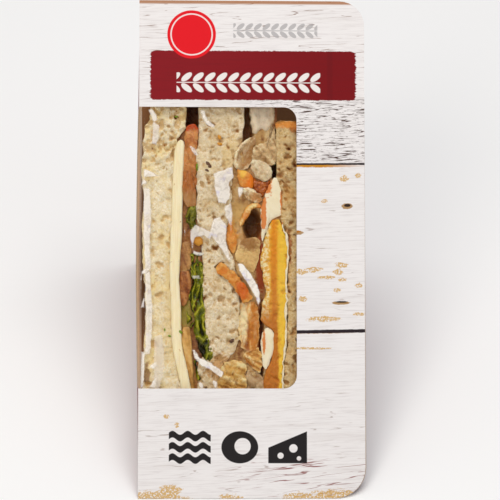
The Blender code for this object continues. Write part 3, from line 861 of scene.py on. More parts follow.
def breadMaterial(name, look):
    # soft wheat crumb: matt, slightly translucent cell walls, with painted shade darkening the pores and
    # hollows
    at = startMaterial(name)
    pale, shade, warm, hollow, pore, deep = look["tints"]
    pit, poreShade, crust = (add("Attribute", attribute_name=key) for key in ("pit", "poreShade", "crust"))
    cells = add("TexNoise", at.mm, 1.5, 5.0, 0.65)        # cell walls, about 0.6 mm
    patches = add("TexNoise", at.mm, 0.13, 3.0, 0.55)     # tone over about 8 mm
    grey = add("TexNoise", at.mm, 0.21, 2.0, 0.5, 0.6)
    bran = add("TexNoise", at.mm, 0.62, 3.0, 0.6, 0.5)
    colour = tinted(
        shade,
        (add("MapRange", cells, 0.35, 0.7), pale),
        (add("MapRange", patches, 0.42, 0.68) * look["warmth"], warm),
        (add("MapRange", grey, 0.45, 0.7) * look["dullness"], "#cdb283"),
        (add("MapRange", bran, 0.64, 0.72) * 0.65, "#a9783d"),
    )
    ragged = (add("TexNoise", at.mm, 0.5, 4.0, 0.7) - 0.5) * 2.2 - pit * 0.2
    # painted shade: hollows, pores and the deepest pores darken with their depth
    colour = tinted(
        stained(at, colour, look["stains"], ragged, 0.35),
        (add("MapRange", pit, 0.08, 0.8) * 0.7, hollow),
        (add("MapRange", pit, 0.35, 1.3) * add("MapRange", poreShade, 0.25, 0.7), pore),
        (add("MapRange", pit, 1.0, 1.9) * add("MapRange", poreShade, 0.45, 0.8), deep),
        (crust, tinted("#8f4f20", (cells, "#b0702f"))),
    )
    height = cells * 0.7 + add("TexNoise", at.mm, 4.0, 3.0, 0.6)
    soft = (0.12, 1.2, (1.0, 0.7, 0.4))
    return finish(at, colour, 0.88, height, 0.14, soft, Specular_IOR_Level=0.25)


for name, bread in breads.items():
    look = breadMaterial(name + "Crumb", bread)
    makeSlab(name, bread["node"], look, "bread_crumb", bread["seed"], bread["shape"])
print("bread made")

cheese = {
    "stepMm": 0.45, "wiggle": 0.1, "roundTop": 2.2, "round": 0.35, "lumps": 0.12, "mounds": 0.0,
    "grain": 0.03, "grainMm": 0.9, "tornShade": 0.0, "poreDepth": 0.0, "sideRelief": 0.05,
}


def cheeseMaterial():
    # close waxy curd: pale, a little translucent, with a soft sheen where the knife passed
    at = startMaterial("slicedCheese")
    drag = add("TexNoise", at.mm * (2.0, 0.12, 1.0), 0.9, 4.0, 0.6)
    colour = tinted(
        "#f0daaa",
        (add("MapRange", drag, 0.3, 0.7), "#fcedc8"),
        (add("TexNoise", at.mm, 0.12, 2.0) * 0.35, "#f5e3b6"),
        (add("MapRange", add("TexNoise", at.mm, 0.5, 2.0), 0.72, 0.76) * 0.7, "#c08a44"),
    )
    return finish(at, colour, 0.42, drag, 0.05, (0.25, 2.5, (1.0, 0.75, 0.35)))


makeSlab("cheeseSlice", "cheese_slice", cheeseMaterial(), "cheese", 71, cheese)
print("cheese made")

yolk = {
    "spread": 0.9, "wiggle": 0.45, "round": 0.5, "lumps": 0.3, "mounds": 0.2, "grain": 0.38,
    "grainMm": 1.3, "tornShade": 0.5, "poreDepth": 0.4,
}


def yolkMaterial():
    # firm cooked yolk: crumbly and matt, darker where relish has soaked in, with painted shade in its pits
    at = startMaterial("cookedEggYolk")
    crumbs = add("TexNoise", at.mm, 2.0, 5.0, 0.7)
    streak = add("TexNoise", at.mm * (1.0, 0.1, 1.0), 0.8, 3.0)
    shred = add("TexNoise", at.mm, 0.9, 4.0, 0.65, 0.6)
    place = at.across + (streak - 0.5) * 2.2 + (add("TexNoise", at.mm, 0.7, 4.0, 0.6) - 0.5) * 1.5
    pairs = (("#e8b22c", "#f3ca4a"), ("#d67c10", "#e39420"), ("#c06e1c", "#d68a30"), ("#b4641a", "#c97e2c"))
    bright, orange, brownish, foot = (tinted(one, (crumbs, other)) for one, other in pairs)
    soaked = tinted(orange, (add("MapRange", at.down, 84.0, 112.0), brownish))
    frayed = tinted("#dda032", (add("MapRange", shred, 0.4, 0.6), "#f3e2ae"))
    colour = tinted(
        bright,
        (strip(place, 47.4, 50.0, 1.1), soaked),
        (add("MapRange", place, 47.6, 46.6), frayed),
        (add("MapRange", at.down, 108.0, 118.0) * add("MapRange", place, 51.0, 49.8), foot),
        # painted shade: darker in the pits
        (add("MapRange", add("Attribute", attribute_name="pit"), 0.2, 0.9) * 0.4, "#b8661a"),
    )
    return finish(at, colour, 0.6, crumbs, 0.12, (0.2, 2.0, (1.0, 0.5, 0.15)))


makeSlab("eggYolk", "egg_yolk", yolkMaterial(), "egg_yolk", 83, yolk)


# Pieces of filling: what they are made of, then their shapes
relishOnWhite = (         # middle and half sizes
    (46.6, 66.6, 1.7, 4.2), (45.0, 76.5, 1.0, 6.5), (51.8, 73.0, 0.7, 6.0), (45.2, 124.0, 0.5, 5.0),
)


def whiteMaterial():
    # set albumen: smooth, moist and slightly translucent
    at = startMaterial("boiledEggWhite")
    cloud = add("TexNoise", at.mm, 0.35, 3.0)
    ragged = (add("TexNoise", at.mm, 0.45, 4.0, 0.6) - 0.5) * 2.4
    stains = [(place, "#d87410", 0.9) for place in relishOnWhite]
    colour = stained(at, tinted("#ecdbb4", (cloud, "#f5e9cc")), stains, ragged)
    fine = add("TexNoise", at.mm, 1.8, 3.0)
    return finish(at, colour, 0.32, fine, 0.04, (0.18, 2.0, (1.0, 0.85, 0.7)))


def tomatoMaterial():
    # ripe tomato edge-on: wet salmon flesh under a thin red skin at its top
    at = startMaterial("tomatoFlesh")
    flesh = add("TexNoise", at.mm, 0.8, 4.0, 0.6)
    pulp = add("TexNoise", at.mm, 0.3, 4.0, 0.6, 0.8)
    colour = tinted(
        "#bc7838",
        (flesh, "#dc9c5e"),
        (add("MapRange", pulp, 0.5, 0.65) * 0.6, "#a04a20"),
        (add("MapRange", pulp, 0.42, 0.3) * 0.5, "#d9a07a"),
        (add("MapRange", at.down, 58.0, 64.0), tinted("#9c4f22", (flesh, "#bd7a38"))),
        (add("MapRange", at.down, 67.0, 71.0), tinted("#a0622e", (flesh, "#b98a52"))),
        (add("MapRange", at.down + pulp * 5.0, 50.2, 49.2) * 0.9, "#b6410f"),
    )
    return finish(at, colour, 0.25, flesh, 0.08, (0.25, 2.0, (1.0, 0.35, 0.2)))


def relishMaterial():
    # cooked relish: dark, wet and glossy
    at = startMaterial("tomatoRelish")
    lumps = add("TexNoise", at.mm, 0.9, 4.0, 0.6)
    colour = tinted("#7a3008", (add("MapRange", lumps, 0.3, 0.7), "#b8621a"))
    return finish(at, colour, 0.22, lumps, 0.15, Coat_Weight=0.3)


crumbleStains = (
    ((37.3, 105.0, 2.3, 4.2), "#cb5a10", 0.85), ((30.6, 98.4, 1.8, 1.6), "#d2751c", 0.85),
    ((40.9, 65.6, 2.2, 2.4), "#e0740f", 0.85), ((37.6, 62.4, 1.2, 1.6), "#eebb4a", 0.85),
)


def crumbleMaterial():
    # crushed yolk soaked with relish: soft and damp, redder in its middle
    at = startMaterial("stainedYolkCrumble")
    lumps = add("TexNoise", at.mm, 0.6, 5.0, 0.6)
    ragged = (add("TexNoise", at.mm, 0.3, 3.0) - 0.5) * 1.6
    colour = tinted("#cf7a28", (add("MapRange", lumps, 0.3, 0.7), "#e3a553"))
    colour = stained(at, colour, crumbleStains, ragged, 0.4)
    return finish(at, colour, 0.45, lumps, 0.15, (0.15, 2.0, (1.0, 0.45, 0.15)))


meats = {                 # lean, fat and dark tints, and where they differ gloss, contrast and stains; the dark tint also paints shade and the fat a highlight
    "brownBaconRasher": ("#b5834a", "#cd9f64", "#824c24"),
    "redBaconRasher": ("#a0602c", "#b87c44", "#6c3216"),
    "tanBaconRasher": ("#d2a056", "#e2b874", "#a4702f"),
    "paleFoldedBacon": ("#d0b58c", "#ead9b6", "#a07848", 0.3, 0.8, (
        ((44.4, 43.0, 3.6, 8.5), "#ecdfc8", 0.5),)),
    # curledBaconFat: the first stain, dark inside the curl, is painted shade
    "curledBaconFat": ("#dabc8c", "#f6e6c2", "#a0703c", 0.3, 0.9, (
        ((42.0, 53.8, 2.2, 4.2), "#9a6c3a", 0.75), ((43.0, 71.6, 2.6, 1.8), "#b5793a", 0.8))),
    "greyFoldedBacon": ("#cfac7a", "#ecd8ae", "#966c3c", 0.3, 0.8, (
        ((43.0, 136.6, 6.0, 4.6), "#a8855e", 0.6),)),
    "goldenBacon": ("#d9a85a", "#efd9a4", "#b4702a"),
    "rustBacon": ("#d8963e", "#f0d89e", "#9c5418", 0.38, 1.0, (
        ((37.9, 117.0, 1.4, 8.0), "#f3e0ae", 0.85), ((41.6, 119.0, 1.7, 9.0), "#bd6f22", 0.8))),
    "goldenBaconStrip": ("#d99a44", "#edcf8e", "#b8641c", 0.35, 1.0, (
        ((43.8, 74.4, 1.4, 1.6), "#d27820", 0.8), ((38.6, 78.4, 1.6, 1.8), "#d07a28", 0.8))),
    "crumbsStainedGold": ("#d2a254", "#ecd49a", "#97601f", 0.6),
    "tanBaconEnd": ("#dcb676", "#eed498", "#b88c50", 0.34, 0.5, (
        ((39.6, 88.0, 4.2, 2.6), "#94642f", 0.9),)),
    # the two shaded looks are darker copies of the bacon: painted shade for the filling that lies deep
    # between the pieces
    "shadedLeanBacon": ("#9a6434", "#b98648", "#5a2c14", 0.38, 1.0, (
        ((17.0, 113.0, 2.4, 5.5), "#8f8030", 0.9),)),
    "shadedFoldedBacon": ("#b98f56", "#dcc08e", "#743c14", 0.38, 1.0, (
        ((36.0, 78.0, 3.0, 4.5), "#dcb468", 0.5), ((42.5, 67.0, 5.5, 3.5), "#b0601e", 0.8),
        ((33.5, 86.0, 2.0, 5.0), "#dc9428", 0.8), ((45.5, 62.5, 3.0, 3.0), "#8a4416", 0.8),
        ((42.0, 100.0, 5.0, 9.0), "#d8b678", 0.5), ((44.2, 95.5, 2.0, 11.5), "#8c3806", 1.0),
        ((43.4, 124.0, 1.6, 15.0), "#7c3410", 0.8))),
}
meatReads = ("rib", "fibre", "pit", "rim")


def meatMaterial(name, lean, fat, dark, gloss=0.38, contrast=1.0, stains=()):
    # cured pork, cooked and folded: fibrous lean with paler fat, moist on its surface; painted highlight on
    # its raised folds and rims, painted shade in its grooves and pits
    at = startMaterial(name)
    rib, fibre, pit, rim = (add("Attribute", attribute_name=key) for key in meatReads)
    grain = add("TexNoise", at.mm, 1.1, 5.0, 0.65, 0.4) - 0.5
    patches = add("TexNoise", at.mm, 0.22, 3.0, 0.5, 0.6) - 0.5
    tone = (rib * 0.5 + fibre * 0.35) * contrast + grain * 0.9
    # tone follows the folds: painted highlight on raised folds and painted shade in grooves, with the meat's
    # own lean and fat; pits get painted shade, rims a painted highlight
    colour = tinted(
        dark,
        (add("MapRange", tone, -0.5, 0.15), lean),
        (add("MapRange", tone + patches, 0.0, 0.6), fat),
        (add("MapRange", pit, 0.15, 0.8) * 0.7, dark),
        (add("MapRange", rim, 0.5, 0.95) * 0.25, fat),
    )
    colour = stained(at, colour, stains, patches * 1.4 + grain * 1.6, 0.45)
    return finish(at, colour, gloss, grain, 0.12, (0.2, 2.0, (1.0, 0.5, 0.3)))


white, tomato, relish, crumble = whiteMaterial(), tomatoMaterial(), relishMaterial(), crumbleMaterial()
bacon = {name: meatMaterial(name, *look) for name, look in meats.items()}

chunkUsual = {
    "set": 0.1,           # how far its middle lies behind the cut face
    "dome": 0.7,          # how far its rim falls back
    "hollow": 0.0,        # how far its middle is sunk, and how much painted shade it gets there
    "lip": None,          # height of a curled edge, and its direction in degrees
    "spread": 0.7,
    "ragged": 0.15,
    "fold": (0.8, 2.4),   # height and spacing of folds or grain
    "turn": 0.6,          # their lie, in radians
    "bump": 0.25,         # height of small bumps and their size
    "bumpMm": 1.3,
    "nearest": 1.3,       # keeps it behind the film
}
chunkShares = np.concatenate([np.linspace(0.06, 0.9, 15), [0.95, 0.98, 1.0]])
chunkDepths = np.array([0.35, 0.8, 1.4, 2.2, 3.2, 4.6, 6.5, 9.5, 14.0, 22.0, 34.0])


def raggedLine(line, much, size, level, seeds):
    # an outline moved a little across and down by two noises
    return line + much * stacked(*(uneven(*line.T, z, size, 3, seed) for z, seed in zip((0.0, level), seeds)))


def makeChunk(name, node, material, slotName, seed, own):
    # a piece of filling rebuilt finely on its CAD outline, from its middle over its rim to its deep end
    chunk = SimpleNamespace(**{**chunkUsual, **own})
    centre, line = outlineOf(node, 110)
    spread = growth(node, line, chunk.spread)
    spread = np.minimum(spread, (np.roll(spread, 1) + np.roll(spread, -1) + 0.1) / 2)
    line = line + (line - centre) / np.hypot(*(line - centre).T)[:, None] * spread[:, None]
    line = raggedLine(line, chunk.ragged, 1.1, 5.0, (seed, seed + 3))
    front = panel["face"] + chunk.set
    share = chunkShares[:, None]
    inward = front + chunk.dome * share**5 + chunk.hollow * (1 - share * share) + np.zeros(len(line))
    if chunk.lip:
        height, direction = chunk.lip
        facing = np.cos(np.arctan2(*(line - centre).T[::-1]) - math.radians(direction))
        inward = inward - height * np.exp(-(((share - 0.8) / 0.17) ** 2)) * np.clip(facing + 0.3, 0, 1)
    back = sliceBack(line[:, 1])
    deep = chunkDepths[:, None]
    behind = np.minimum(inward[-1] + deep, back - 0.01 * (chunkDepths[-1] - deep))
    inward = np.vstack([inward, behind, back])
    rows, around = inward.shape
    share = np.append(chunkShares, np.ones(rows - len(chunkShares)))[:, None]
    across, down = (middle + (edge - middle) * share for middle, edge in zip(centre, line.T))

    # folds, grain and bumps stand out towards the viewer in front and sideways behind the rim
    cos, sin = math.cos(chunk.turn), math.sin(chunk.turn)
    along, beside = across * cos + down * sin, down * cos - across * sin
    rib = uneven(along / 4.5, beside, inward * 0.2, chunk.fold[1], 2, seed + 7)
    fibre = uneven(along / 5.0, beside, inward * 0.5, 0.75, 3, seed + 8)
    bump = uneven(across, down, inward, chunk.bumpMm, 4, seed + 11)
    raised = chunk.fold[0] * rib + chunk.bump * bump + 0.12 * fibre
    raised = raised * np.exp(-np.clip(inward - front - 2, 0, None) / 8)
    row = np.arange(rows)[:, None]
    facing = np.clip((len(chunkShares) - row) / 4.0, 0, 1)
    outAcross, outDown = (line - centre).T / np.hypot(*(line - centre).T)
    sideways = raised * (1 - facing) * 0.5
    across, down = across + outAcross * sideways, down + outDown * sideways
    inward = np.maximum(inward - raised * facing, chunk.nearest)
    # pit is where painted shade goes, in low bumps and the sunk middle; rim is where a painted highlight
    # goes, on the outline and just behind it
    pit = np.clip(-bump, 0, 1) + chunk.hollow * 0.4 * (1 - share**2)
    rim = np.where(row < len(chunkShares), share**4, np.exp((len(chunkShares) - row) / 2.5))
    ends = [[*centre, depth, 0, 0, 0, 0] for depth in (inward[0].mean(), sliceBack(centre[1]))]
    grid = np.vstack([stacked(across, down, inward, rib, fibre, pit, rim).reshape(-1, 7), ends])
    makeMesh(name, grid, domeFaces(rows, around), material, slotName, node, reads=meatReads)


whiteTop = {"set": -0.1, "dome": 0.5, "fold": (0.35, 3.0), "bump": 0.14, "ragged": 0.3, "turn": 1.4}
whiteLow = {"dome": 0.5, "fold": (0.3, 3.0), "bump": 0.12, "ragged": 0.2, "turn": 1.5}
tomatoSlice = {"set": 0.25, "dome": 0.35, "fold": (0.35, 1.6), "bump": 0.6, "turn": 1.45, "ragged": 0.4}
rasher = {"set": 0.5, "fold": (0.25, 2.2), "turn": 1.3, "bump": 0.2}
folds = (                 # what each is made of and its shape, from the top down
    {"look": "paleFoldedBacon", "set": 0.5, "dome": 1.2, "turn": 1.5, "fold": (0.7, 3.4), "bump": 0.3,
     "ragged": 0.3},
    {"look": "curledBaconFat", "set": 0.3, "dome": 0.5, "turn": 2.1, "fold": (0.15, 3.5), "bump": 0.1,
     "ragged": 0.4, "hollow": 1.8, "lip": (1.3, 170)},
    {"look": "greyFoldedBacon", "set": 0.7, "dome": 0.4, "turn": 0.9, "fold": (0.5, 2.0), "bump": 0.8,
     "ragged": 0.7, "bumpMm": 1.8},
    {"look": "paleFoldedBacon", "set": 0.2, "dome": 0.4, "turn": 1.1, "fold": (0.5, 3.0), "bump": 0.55,
     "ragged": 0.5, "bumpMm": 1.7},
    {"look": "curledBaconFat", "set": 0.2, "dome": 0.4, "fold": (0.4, 2.2), "bump": 0.4, "ragged": 0.7},
    {"look": "tanBaconEnd", "set": 0.6, "dome": 0.5, "turn": 0.4, "fold": (0.2, 3.8), "bump": 0.3,
     "ragged": 0.3},
    {"look": "rustBacon", "set": 0.4, "dome": 0.4, "turn": 1.5, "fold": (0.4, 1.6), "bump": 0.55,
     "ragged": 0.45},
    {"look": "goldenBacon", "set": 0.4, "dome": 0.4, "fold": (0.4, 1.8), "bump": 0.6, "ragged": 0.5},
    {"look": "crumbsStainedGold", "set": 0.2, "dome": 0.3, "turn": 0.3, "fold": (0.25, 1.6), "bump": 0.75,
     "ragged": 0.6, "bumpMm": 1.1},
    {"look": "greyFoldedBacon", "set": 0.8, "dome": 0.6, "turn": 0.7, "fold": (0.8, 2.2), "bump": 0.5},
)
relishBead = {"set": 0.6, "fold": (0.3, 1.8)}
yolkLump = {"fold": (0.2, 1.8), "bump": 0.3}

makeChunk("tomatoSlice", "tomato_slice", tomato, "tomato", 101, tomatoSlice)
makeChunk("eggWhiteTop", "egg_white_top", white, "egg_white", 111, whiteTop)
makeChunk("eggWhiteLow", "egg_white_low", white, "egg_white", 115, whiteLow)
for number, look in enumerate(("brownBaconRasher", "redBaconRasher", "tanBaconRasher"), 1):
    names = f"baconRasher{number}", f"bacon_rasher_{number}"
    makeChunk(*names, bacon[look], "bacon", 120 + number * 9, rasher)
for number, own in enumerate(folds, 1):
    names = f"baconFold{number}", f"bacon_fold_{number}"
    makeChunk(*names, bacon[own["look"]], "bacon", 160 + number * 13, own)
makeChunk("relishBead", "relish", relish, "relish", 301, relishBead)
makeChunk("yolkCrumble1", "yolk_crumble_1", crumble, "egg_yolk", 307, yolkLump)
makeChunk("yolkCrumble2", "yolk_crumble_2", crumble, "egg_yolk", 311, yolkLump)


def edgeAt(name, side, down):
    # the left or right edge of a slice at places down
    stations = edgesOf(name)
    return np.interp(down, stations[0], stations[side])


def leftGap(down):
    top = edgesOf("cheese_slice")[0][0] + 1
    left = np.where(down < top, edgeAt("bread_left", 2, down), edgeAt("cheese_slice", 2, down))
    return left + 0.05, edgeAt("bread_middle", 1, down) - 0.05


def rightGap(down):
    top = edgesOf("egg_yolk")[0][0] + 1
    right = np.where(down < top, edgeAt("bread_right", 1, down), edgeAt("egg_yolk", 1, down))
    return edgeAt("bread_middle", 2, down) + 0.05, right - 0.05


bedUsual = {
    "shown": (37.0, 143.0),
    "stepMm": 0.45,
    "columns": 40,
    "fold": 0.9,
    "bump": 0.4,
    "nearest": 1.5,       # behind the cut face
    "deepest": 30.0,
}
beds = {                  # caves are a middle, two half sizes and a depth
    "fillingBetween1": {
        "gap": leftGap, "look": "shadedLeanBacon", "seed": 701, "depth": 1.6,
        "caves": ((19.5, 40.5, 4, 5.5, 9.0), (20.5, 112.0, 2.0, 12.0, 0.8)),
    },
    "fillingBetween2": {
        "gap": rightGap, "look": "shadedFoldedBacon", "seed": 711, "depth": 1.3,
        "caves": (
            (39.4, 47.0, 1.9, 12.0, 6.0), (41.0, 81.0, 3.2, 5.6, 9.0), (44.3, 125.0, 0.9, 17.0, 3.0),
            (50.4, 50.0, 1.2, 8.0, 2.0), (49.2, 60.9, 1.5, 3.6, 8.0),
        ),
    },
}


def makeBed(name, own):
    # the mass of folded filling that shows in shade between the nearer pieces
    bed = SimpleNamespace(**{**bedUsual, **own})
    down = np.arange(*bed.shown, bed.stepMm)[:, None]
    left, right = bed.gap(down)
    across = left + (right - left) * np.linspace(0, 1, bed.columns)
    rib = uneven(across, down * 0.35, 0.0, 2.6, 3, bed.seed)
    bump = uneven(across, down, 2.0, 1.4, 3, bed.seed + 5)
    level = panel["face"] + bed.depth
    inward = level + bed.fold * rib + bed.bump * bump
    for x, y, wide, high, deep in bed.caves:
        inward = inward + deep * smoothStep(1.25, 0.6, np.hypot((across - x) / wide, (down - y) / high))
    inward = np.maximum(inward, panel["face"] + bed.nearest)
    # pit is painted shade: darker where the bed lies deeper, in the caves and low bumps
    pit = np.clip(bump * 0.6 + (inward - level) * 0.25, 0, 1)
    back = min(inward.max() + 4.0, bed.deepest)
    front = stacked(across, down, inward, rib, bump, pit, 0.0)
    deepEnd = stacked(across[:, [-1, 0]], down, back, 0.0, 0.0, 0.0, 0.0)
    grid = np.concatenate([front, deepEnd], axis=1)
    makeMesh(name, grid, tubeFaces(*grid.shape[:2]), bacon[bed.look], "bacon", reads=meatReads)


for name, bed in beds.items():
    makeBed(name, bed)


def followed(path, count):
    # places along a path, the direction beside each one, and how far along it is
    line, at = evenly(np.array(path, float), count)
    along = np.gradient(line, axis=0)
    along = along / np.hypot(*along.T)[:, None]
    return line, stacked(-along[:, 1], along[:, 0]), at


def roundEnd(place, beside, half):
    # half a circle round one end of a path
    turn = np.linspace(0, math.pi, 14)[1:-1, None]
    return place + half * (beside * np.cos(turn) + np.array([beside[1], -beside[0]]) * np.sin(turn))


pressed = {
    "path": ((29.6, 97.2), (33.0, 99.6), (36.4, 103.6), (38.9, 107.6)),
    "half": 2.0,
    "ragged": 0.5,
    "lumps": 0.5,
    "rimFalls": 0.55,
}


def makePressed():
    # the shallow piece that the knife pressed on to the bread, on its own CAD place
    line, beside, _ = followed(pressed["path"], 60)
    centre, half = line.mean(axis=0), pressed["half"]
    ends = roundEnd(line[-1], beside[-1], half), roundEnd(line[0], beside[0], -half)
    line = np.vstack([line + beside * half, ends[0], (line - beside * half)[::-1], ends[1]])
    line = raggedLine(line, pressed["ragged"], 1.3, 4.0, (5, 6))
    depths = nodePlaces("yolk_crumble_pressed")[:, 2]
    share = np.concatenate([np.linspace(0.05, 0.85, 13), [0.92, 0.97, 1.0, 1.0]])[:, None]
    across, down = (middle + (edge - middle) * share for middle, edge in zip(centre, line.T))
    inward = depths.min() - 0.1 + pressed["rimFalls"] * share**4
    inward = inward + pressed["lumps"] * uneven(across, down, 0.0, 1.5, 4, 15)
    inward = np.minimum(inward, depths.max() - 0.05)
    inward[-1] = depths.max()
    ends = [[*centre, inward[0].mean()], [*centre, depths.max()]]
    grid = np.vstack([stacked(across, down, inward).reshape(-1, 3), ends])
    faces = domeFaces(*inward.shape)
    makeMesh("yolkCrumblePressed", grid, faces, crumble, "egg_yolk", "yolk_crumble_pressed")


makePressed()

bandUsual = {
    "uneven": 0.3,        # of its width
    "wave": 0.3,          # in and out
    "sway": 0.15,         # from side to side
    "bump": 0.12,
    "nearest": 1.32,      # keeps it behind the film
}
bandAcross = np.array([-1, -1, -1, -0.96, -0.8, -0.5, -0.2, 0.2, 0.5, 0.8, 0.96, 1, 1, 1])
bandDrop = np.array([14, 4, 1.2, 0.5, 0.16, 0.03, 0, 0, 0.03, 0.16, 0.5, 1.2, 4, 14])  # mm behind its crest
whiteRim = {
    "path": ((51.7, 80.2), (53.3, 85.8), (54.0, 92.6), (53.3, 99), (53.3, 109), (52.9, 123), (52.0, 133),
             (51.8, 141), (52.2, 165)),
    "rows": 320, "half": 0.38, "set": -0.15, "uneven": 0.6, "sway": 0.3, "wave": 0.35,
}
arch = {
    "path": ((44.2, 74.7), (42.6, 74.2), (41.2, 74.4), (39.9, 75.3), (38.8, 77.0), (37.7, 79.2),
             (36.4, 81.6)),
    "rows": 120, "half": 1.05, "set": 0.2, "bump": 0.25,
}


def makeBand(name, node, material, slotName, seed, own):
    # a thin piece seen edge-on: its profile swept along its path, and run inward
    band = SimpleNamespace(**{**bandUsual, **own})
    line, beside, at = followed(band.path, band.rows)
    ends = np.clip(np.minimum(at, at[-1] - at) / (band.half * 1.2), 0.02, 1)
    width = band.half * np.sqrt(ends) * (1 + band.uneven * uneven(at, 0.0, 0.0, 2.0, 3, seed))
    sway = band.sway * uneven(at, 7.0, 0.0, 1.6, 2, seed + 2)
    out = width[:, None] * bandAcross + sway[:, None]
    across, down = (line[:, [axis]] + beside[:, [axis]] * out for axis in (0, 1))
    front = panel["face"] + band.set + band.wave * uneven(at, 3.0, 0.0, 2.6, 2, seed + 1)
    inward = front[:, None] + bandDrop + band.bump * uneven(across, down, 1.0, 0.8, 3, seed + 3)
    inward = np.minimum(np.maximum(inward, band.nearest), sliceBack(down))  # stops short of the base
    # the profile's crest is read as rib, which lightens the bacon strip's tone: a painted highlight along its
    # crest
    grid = stacked(across, down, inward, np.exp(-((bandAcross / 0.6) ** 2)), 0.0, 0.0, 0.0)
    makeMesh(name, grid, tubeFaces(*inward.shape), material, slotName, node, reads=meatReads)


makeBand("eggWhiteRim", "egg_white_rim", white, "egg_white", 401, whiteRim)
makeBand("baconStrip", "bacon_strip", bacon["goldenBaconStrip"], "bacon", 405, arch)
print("egg, tomato, bacon and relish made")


# Lettuce: ruffled leaf edges cut through, bright where they face the light
leafUsual = {
    "set": 0.2,           # how far its crests lie behind the cut face
    "deep": 2.6,          # and how much further its hollows
    "fold": 2.3,          # spacing of the ruffles
    "lift": None,         # places down between which its end curls out, and how far
    "ragged": 0.4,
    "thick": 0.3,
    "nearest": 1.35,      # keeps it behind the film
    "stepMm": 0.22,
    "columns": 18,
}
leaves = {                # rows are a place down and the left and right edges there
    "lettuceLeaf1": {
        "node": "lettuce_leaf_1", "seed": 501, "fold": 2.0,
        "rows": (
            (73.6, 19.2, 20.4), (75.5, 17.0, 20.8), (78, 16.6, 21.0), (81, 17.4, 21.0), (83.4, 19.0, 20.6),
        ),
    },
    "lettuceLeaf2": {
        "node": "lettuce_leaf_2", "seed": 511, "deep": 2.4,
        "rows": (
            (91.6, 18.4, 20.6), (97, 18.6, 21.0), (104, 18.2, 21.0), (112, 17.4, 20.6), (118.5, 17.2, 19.8),
        ),
    },
    "lettuceLeaf3": {
        "node": "lettuce_leaf_3", "seed": 521, "lift": (118, 125, 1.4),
        "rows": (
            (91.6, 20.4, 23.2), (98, 20.8, 23.6), (105, 20.8, 24.0), (112, 20.4, 24.4), (118, 19.8, 24.6),
            (124, 20.8, 25.4), (127, 22.0, 27.0), (129.6, 22.8, 26.6), (130.6, 23.6, 25.6),
        ),
    },
    "lettuceLeaf4": {
        "node": "lettuce_leaf_4", "seed": 531, "set": 0.6, "deep": 1.2,
        "rows": ((130.2, 20.0, 21.4), (133.5, 20.2, 22.4), (137.6, 21.0, 23.0)),
    },
}


def leafMaterial():
    # lettuce: thin, waxy, lit through from behind; near black in its hollows and bright on its crests,
    # painted shade and painted highlight
    at = startMaterial("lettuceLeaf")
    veins = add("TexNoise", at.mm, 0.9, 4.0, 0.6, 1.0)
    tone = add("Attribute", attribute_name="rib") + (veins - 0.5) * 0.5
    tone = tone + (add("TexNoise", at.mm, 0.16, 2.0) - 0.5) * 0.5
    # painted light: tone follows the crests, near black where the ruffles fall away and bright lime where
    # they stand forward
    colour = tinted(
        "#211f04",
        (add("MapRange", tone, 0.3, 0.72), "#666a0c"),
        (add("MapRange", tone, 0.68, 1.12), "#b9ae2c"),
        (strip(at.down, 75.4, 82.4, 0.9) * 0.6, "#2c2c06"),
    )
    return finish(at, colour, 0.35, veins, 0.08, (0.2, 0.8, (0.7, 1.0, 0.2)))


def makeLeaf(name, own, material):
    # a thin closed sheet between a left and a right edge, folded in ruffles
    leaf = SimpleNamespace(**{**leafUsual, **own})
    places, left, right = np.array(leaf.rows, float).T
    down = np.arange(places[0], places[-1], leaf.stepMm)
    left = np.interp(down, places, left) + leaf.ragged * uneven(down, 0.0, 0.0, 1.6, 3, leaf.seed)
    right = np.interp(down, places, right) + leaf.ragged * uneven(down, 9.0, 0.0, 1.6, 3, leaf.seed)
    share = np.linspace(0, 1, leaf.columns)
    left, right, down = (edge[:, None] for edge in (left, right, down))
    across = left + (right - left) * share
    warp = 0.9 * uneven(across, down, 3.0, 3.2, 2, leaf.seed + 2)
    crest = np.abs(uneven(across + warp, down * 0.42, 1.0, leaf.fold, 2, leaf.seed + 4))
    crest = np.clip(1 - crest * 1.35, 0, 1)
    depth = panel["face"] + leaf.set + leaf.deep * (1 - crest) + 1.2 * np.abs(2 * share - 1) ** 5
    depth = depth + 0.12 * uneven(across, down, 5.0, 0.7, 2, leaf.seed + 6)
    if leaf.lift:
        low, high, rise = leaf.lift
        depth = depth - rise * smoothStep(low, high, down)
    front = stacked(across, down, np.maximum(depth, leaf.nearest), crest)
    both = np.stack([front, front + (0, 0, leaf.thick, 0)])
    makeMesh(name, both, sheetFaces(*across.shape), material, "lettuce", leaf.node, reads=("rib",))


leafLook = leafMaterial()
for name, leaf in leaves.items():
    makeLeaf(name, leaf, leafLook)


# Seeds and kibbled grain in the bread, and loose green crumbs
bits = {                  # look is two tints and the roughness; places are across, down, half sizes and turn
    "kibbledGrain": {
        "slot": "bread_crumb", "seed": 3, "husk": "kibbledWheat", "look": ("#c07c26", "#dd9c3c", 0.5),
        "places": ((21.4, 87.4, 1.9, 1.7, 20), (29.1, 49.6, 0.9, 0.6, 60), (29.2, 52.0, 1.0, 0.6, 10)),
    },
    "darkSeeds": {
        "slot": "bread_crumb", "seed": 5, "husk": "darkLinseed", "look": ("#4a3024", "#7a563c", 0.4),
        "places": ((33.6, 123.3, 1.0, 0.6, -35), (25.2, 59.6, 1.7, 0.7, 50), (24.6, 61.6, 1.2, 0.6, 20)),
    },
    "greenCrumbs": {
        "slot": "lettuce", "seed": 7, "husk": "chivePieces", "look": ("#5d7a14", "#8fa52c", 0.4),
        "places": (
            (15.2, 120.1, 0.8, 0.5, 40), (11.2, 121.5, 0.6, 0.35, 10), (9.4, 119.3, 0.5, 0.3, 80),
            (13.4, 42.1, 0.6, 0.35, 0), (20.9, 60.4, 0.4, 1.4, 0),
        ),
    },
}


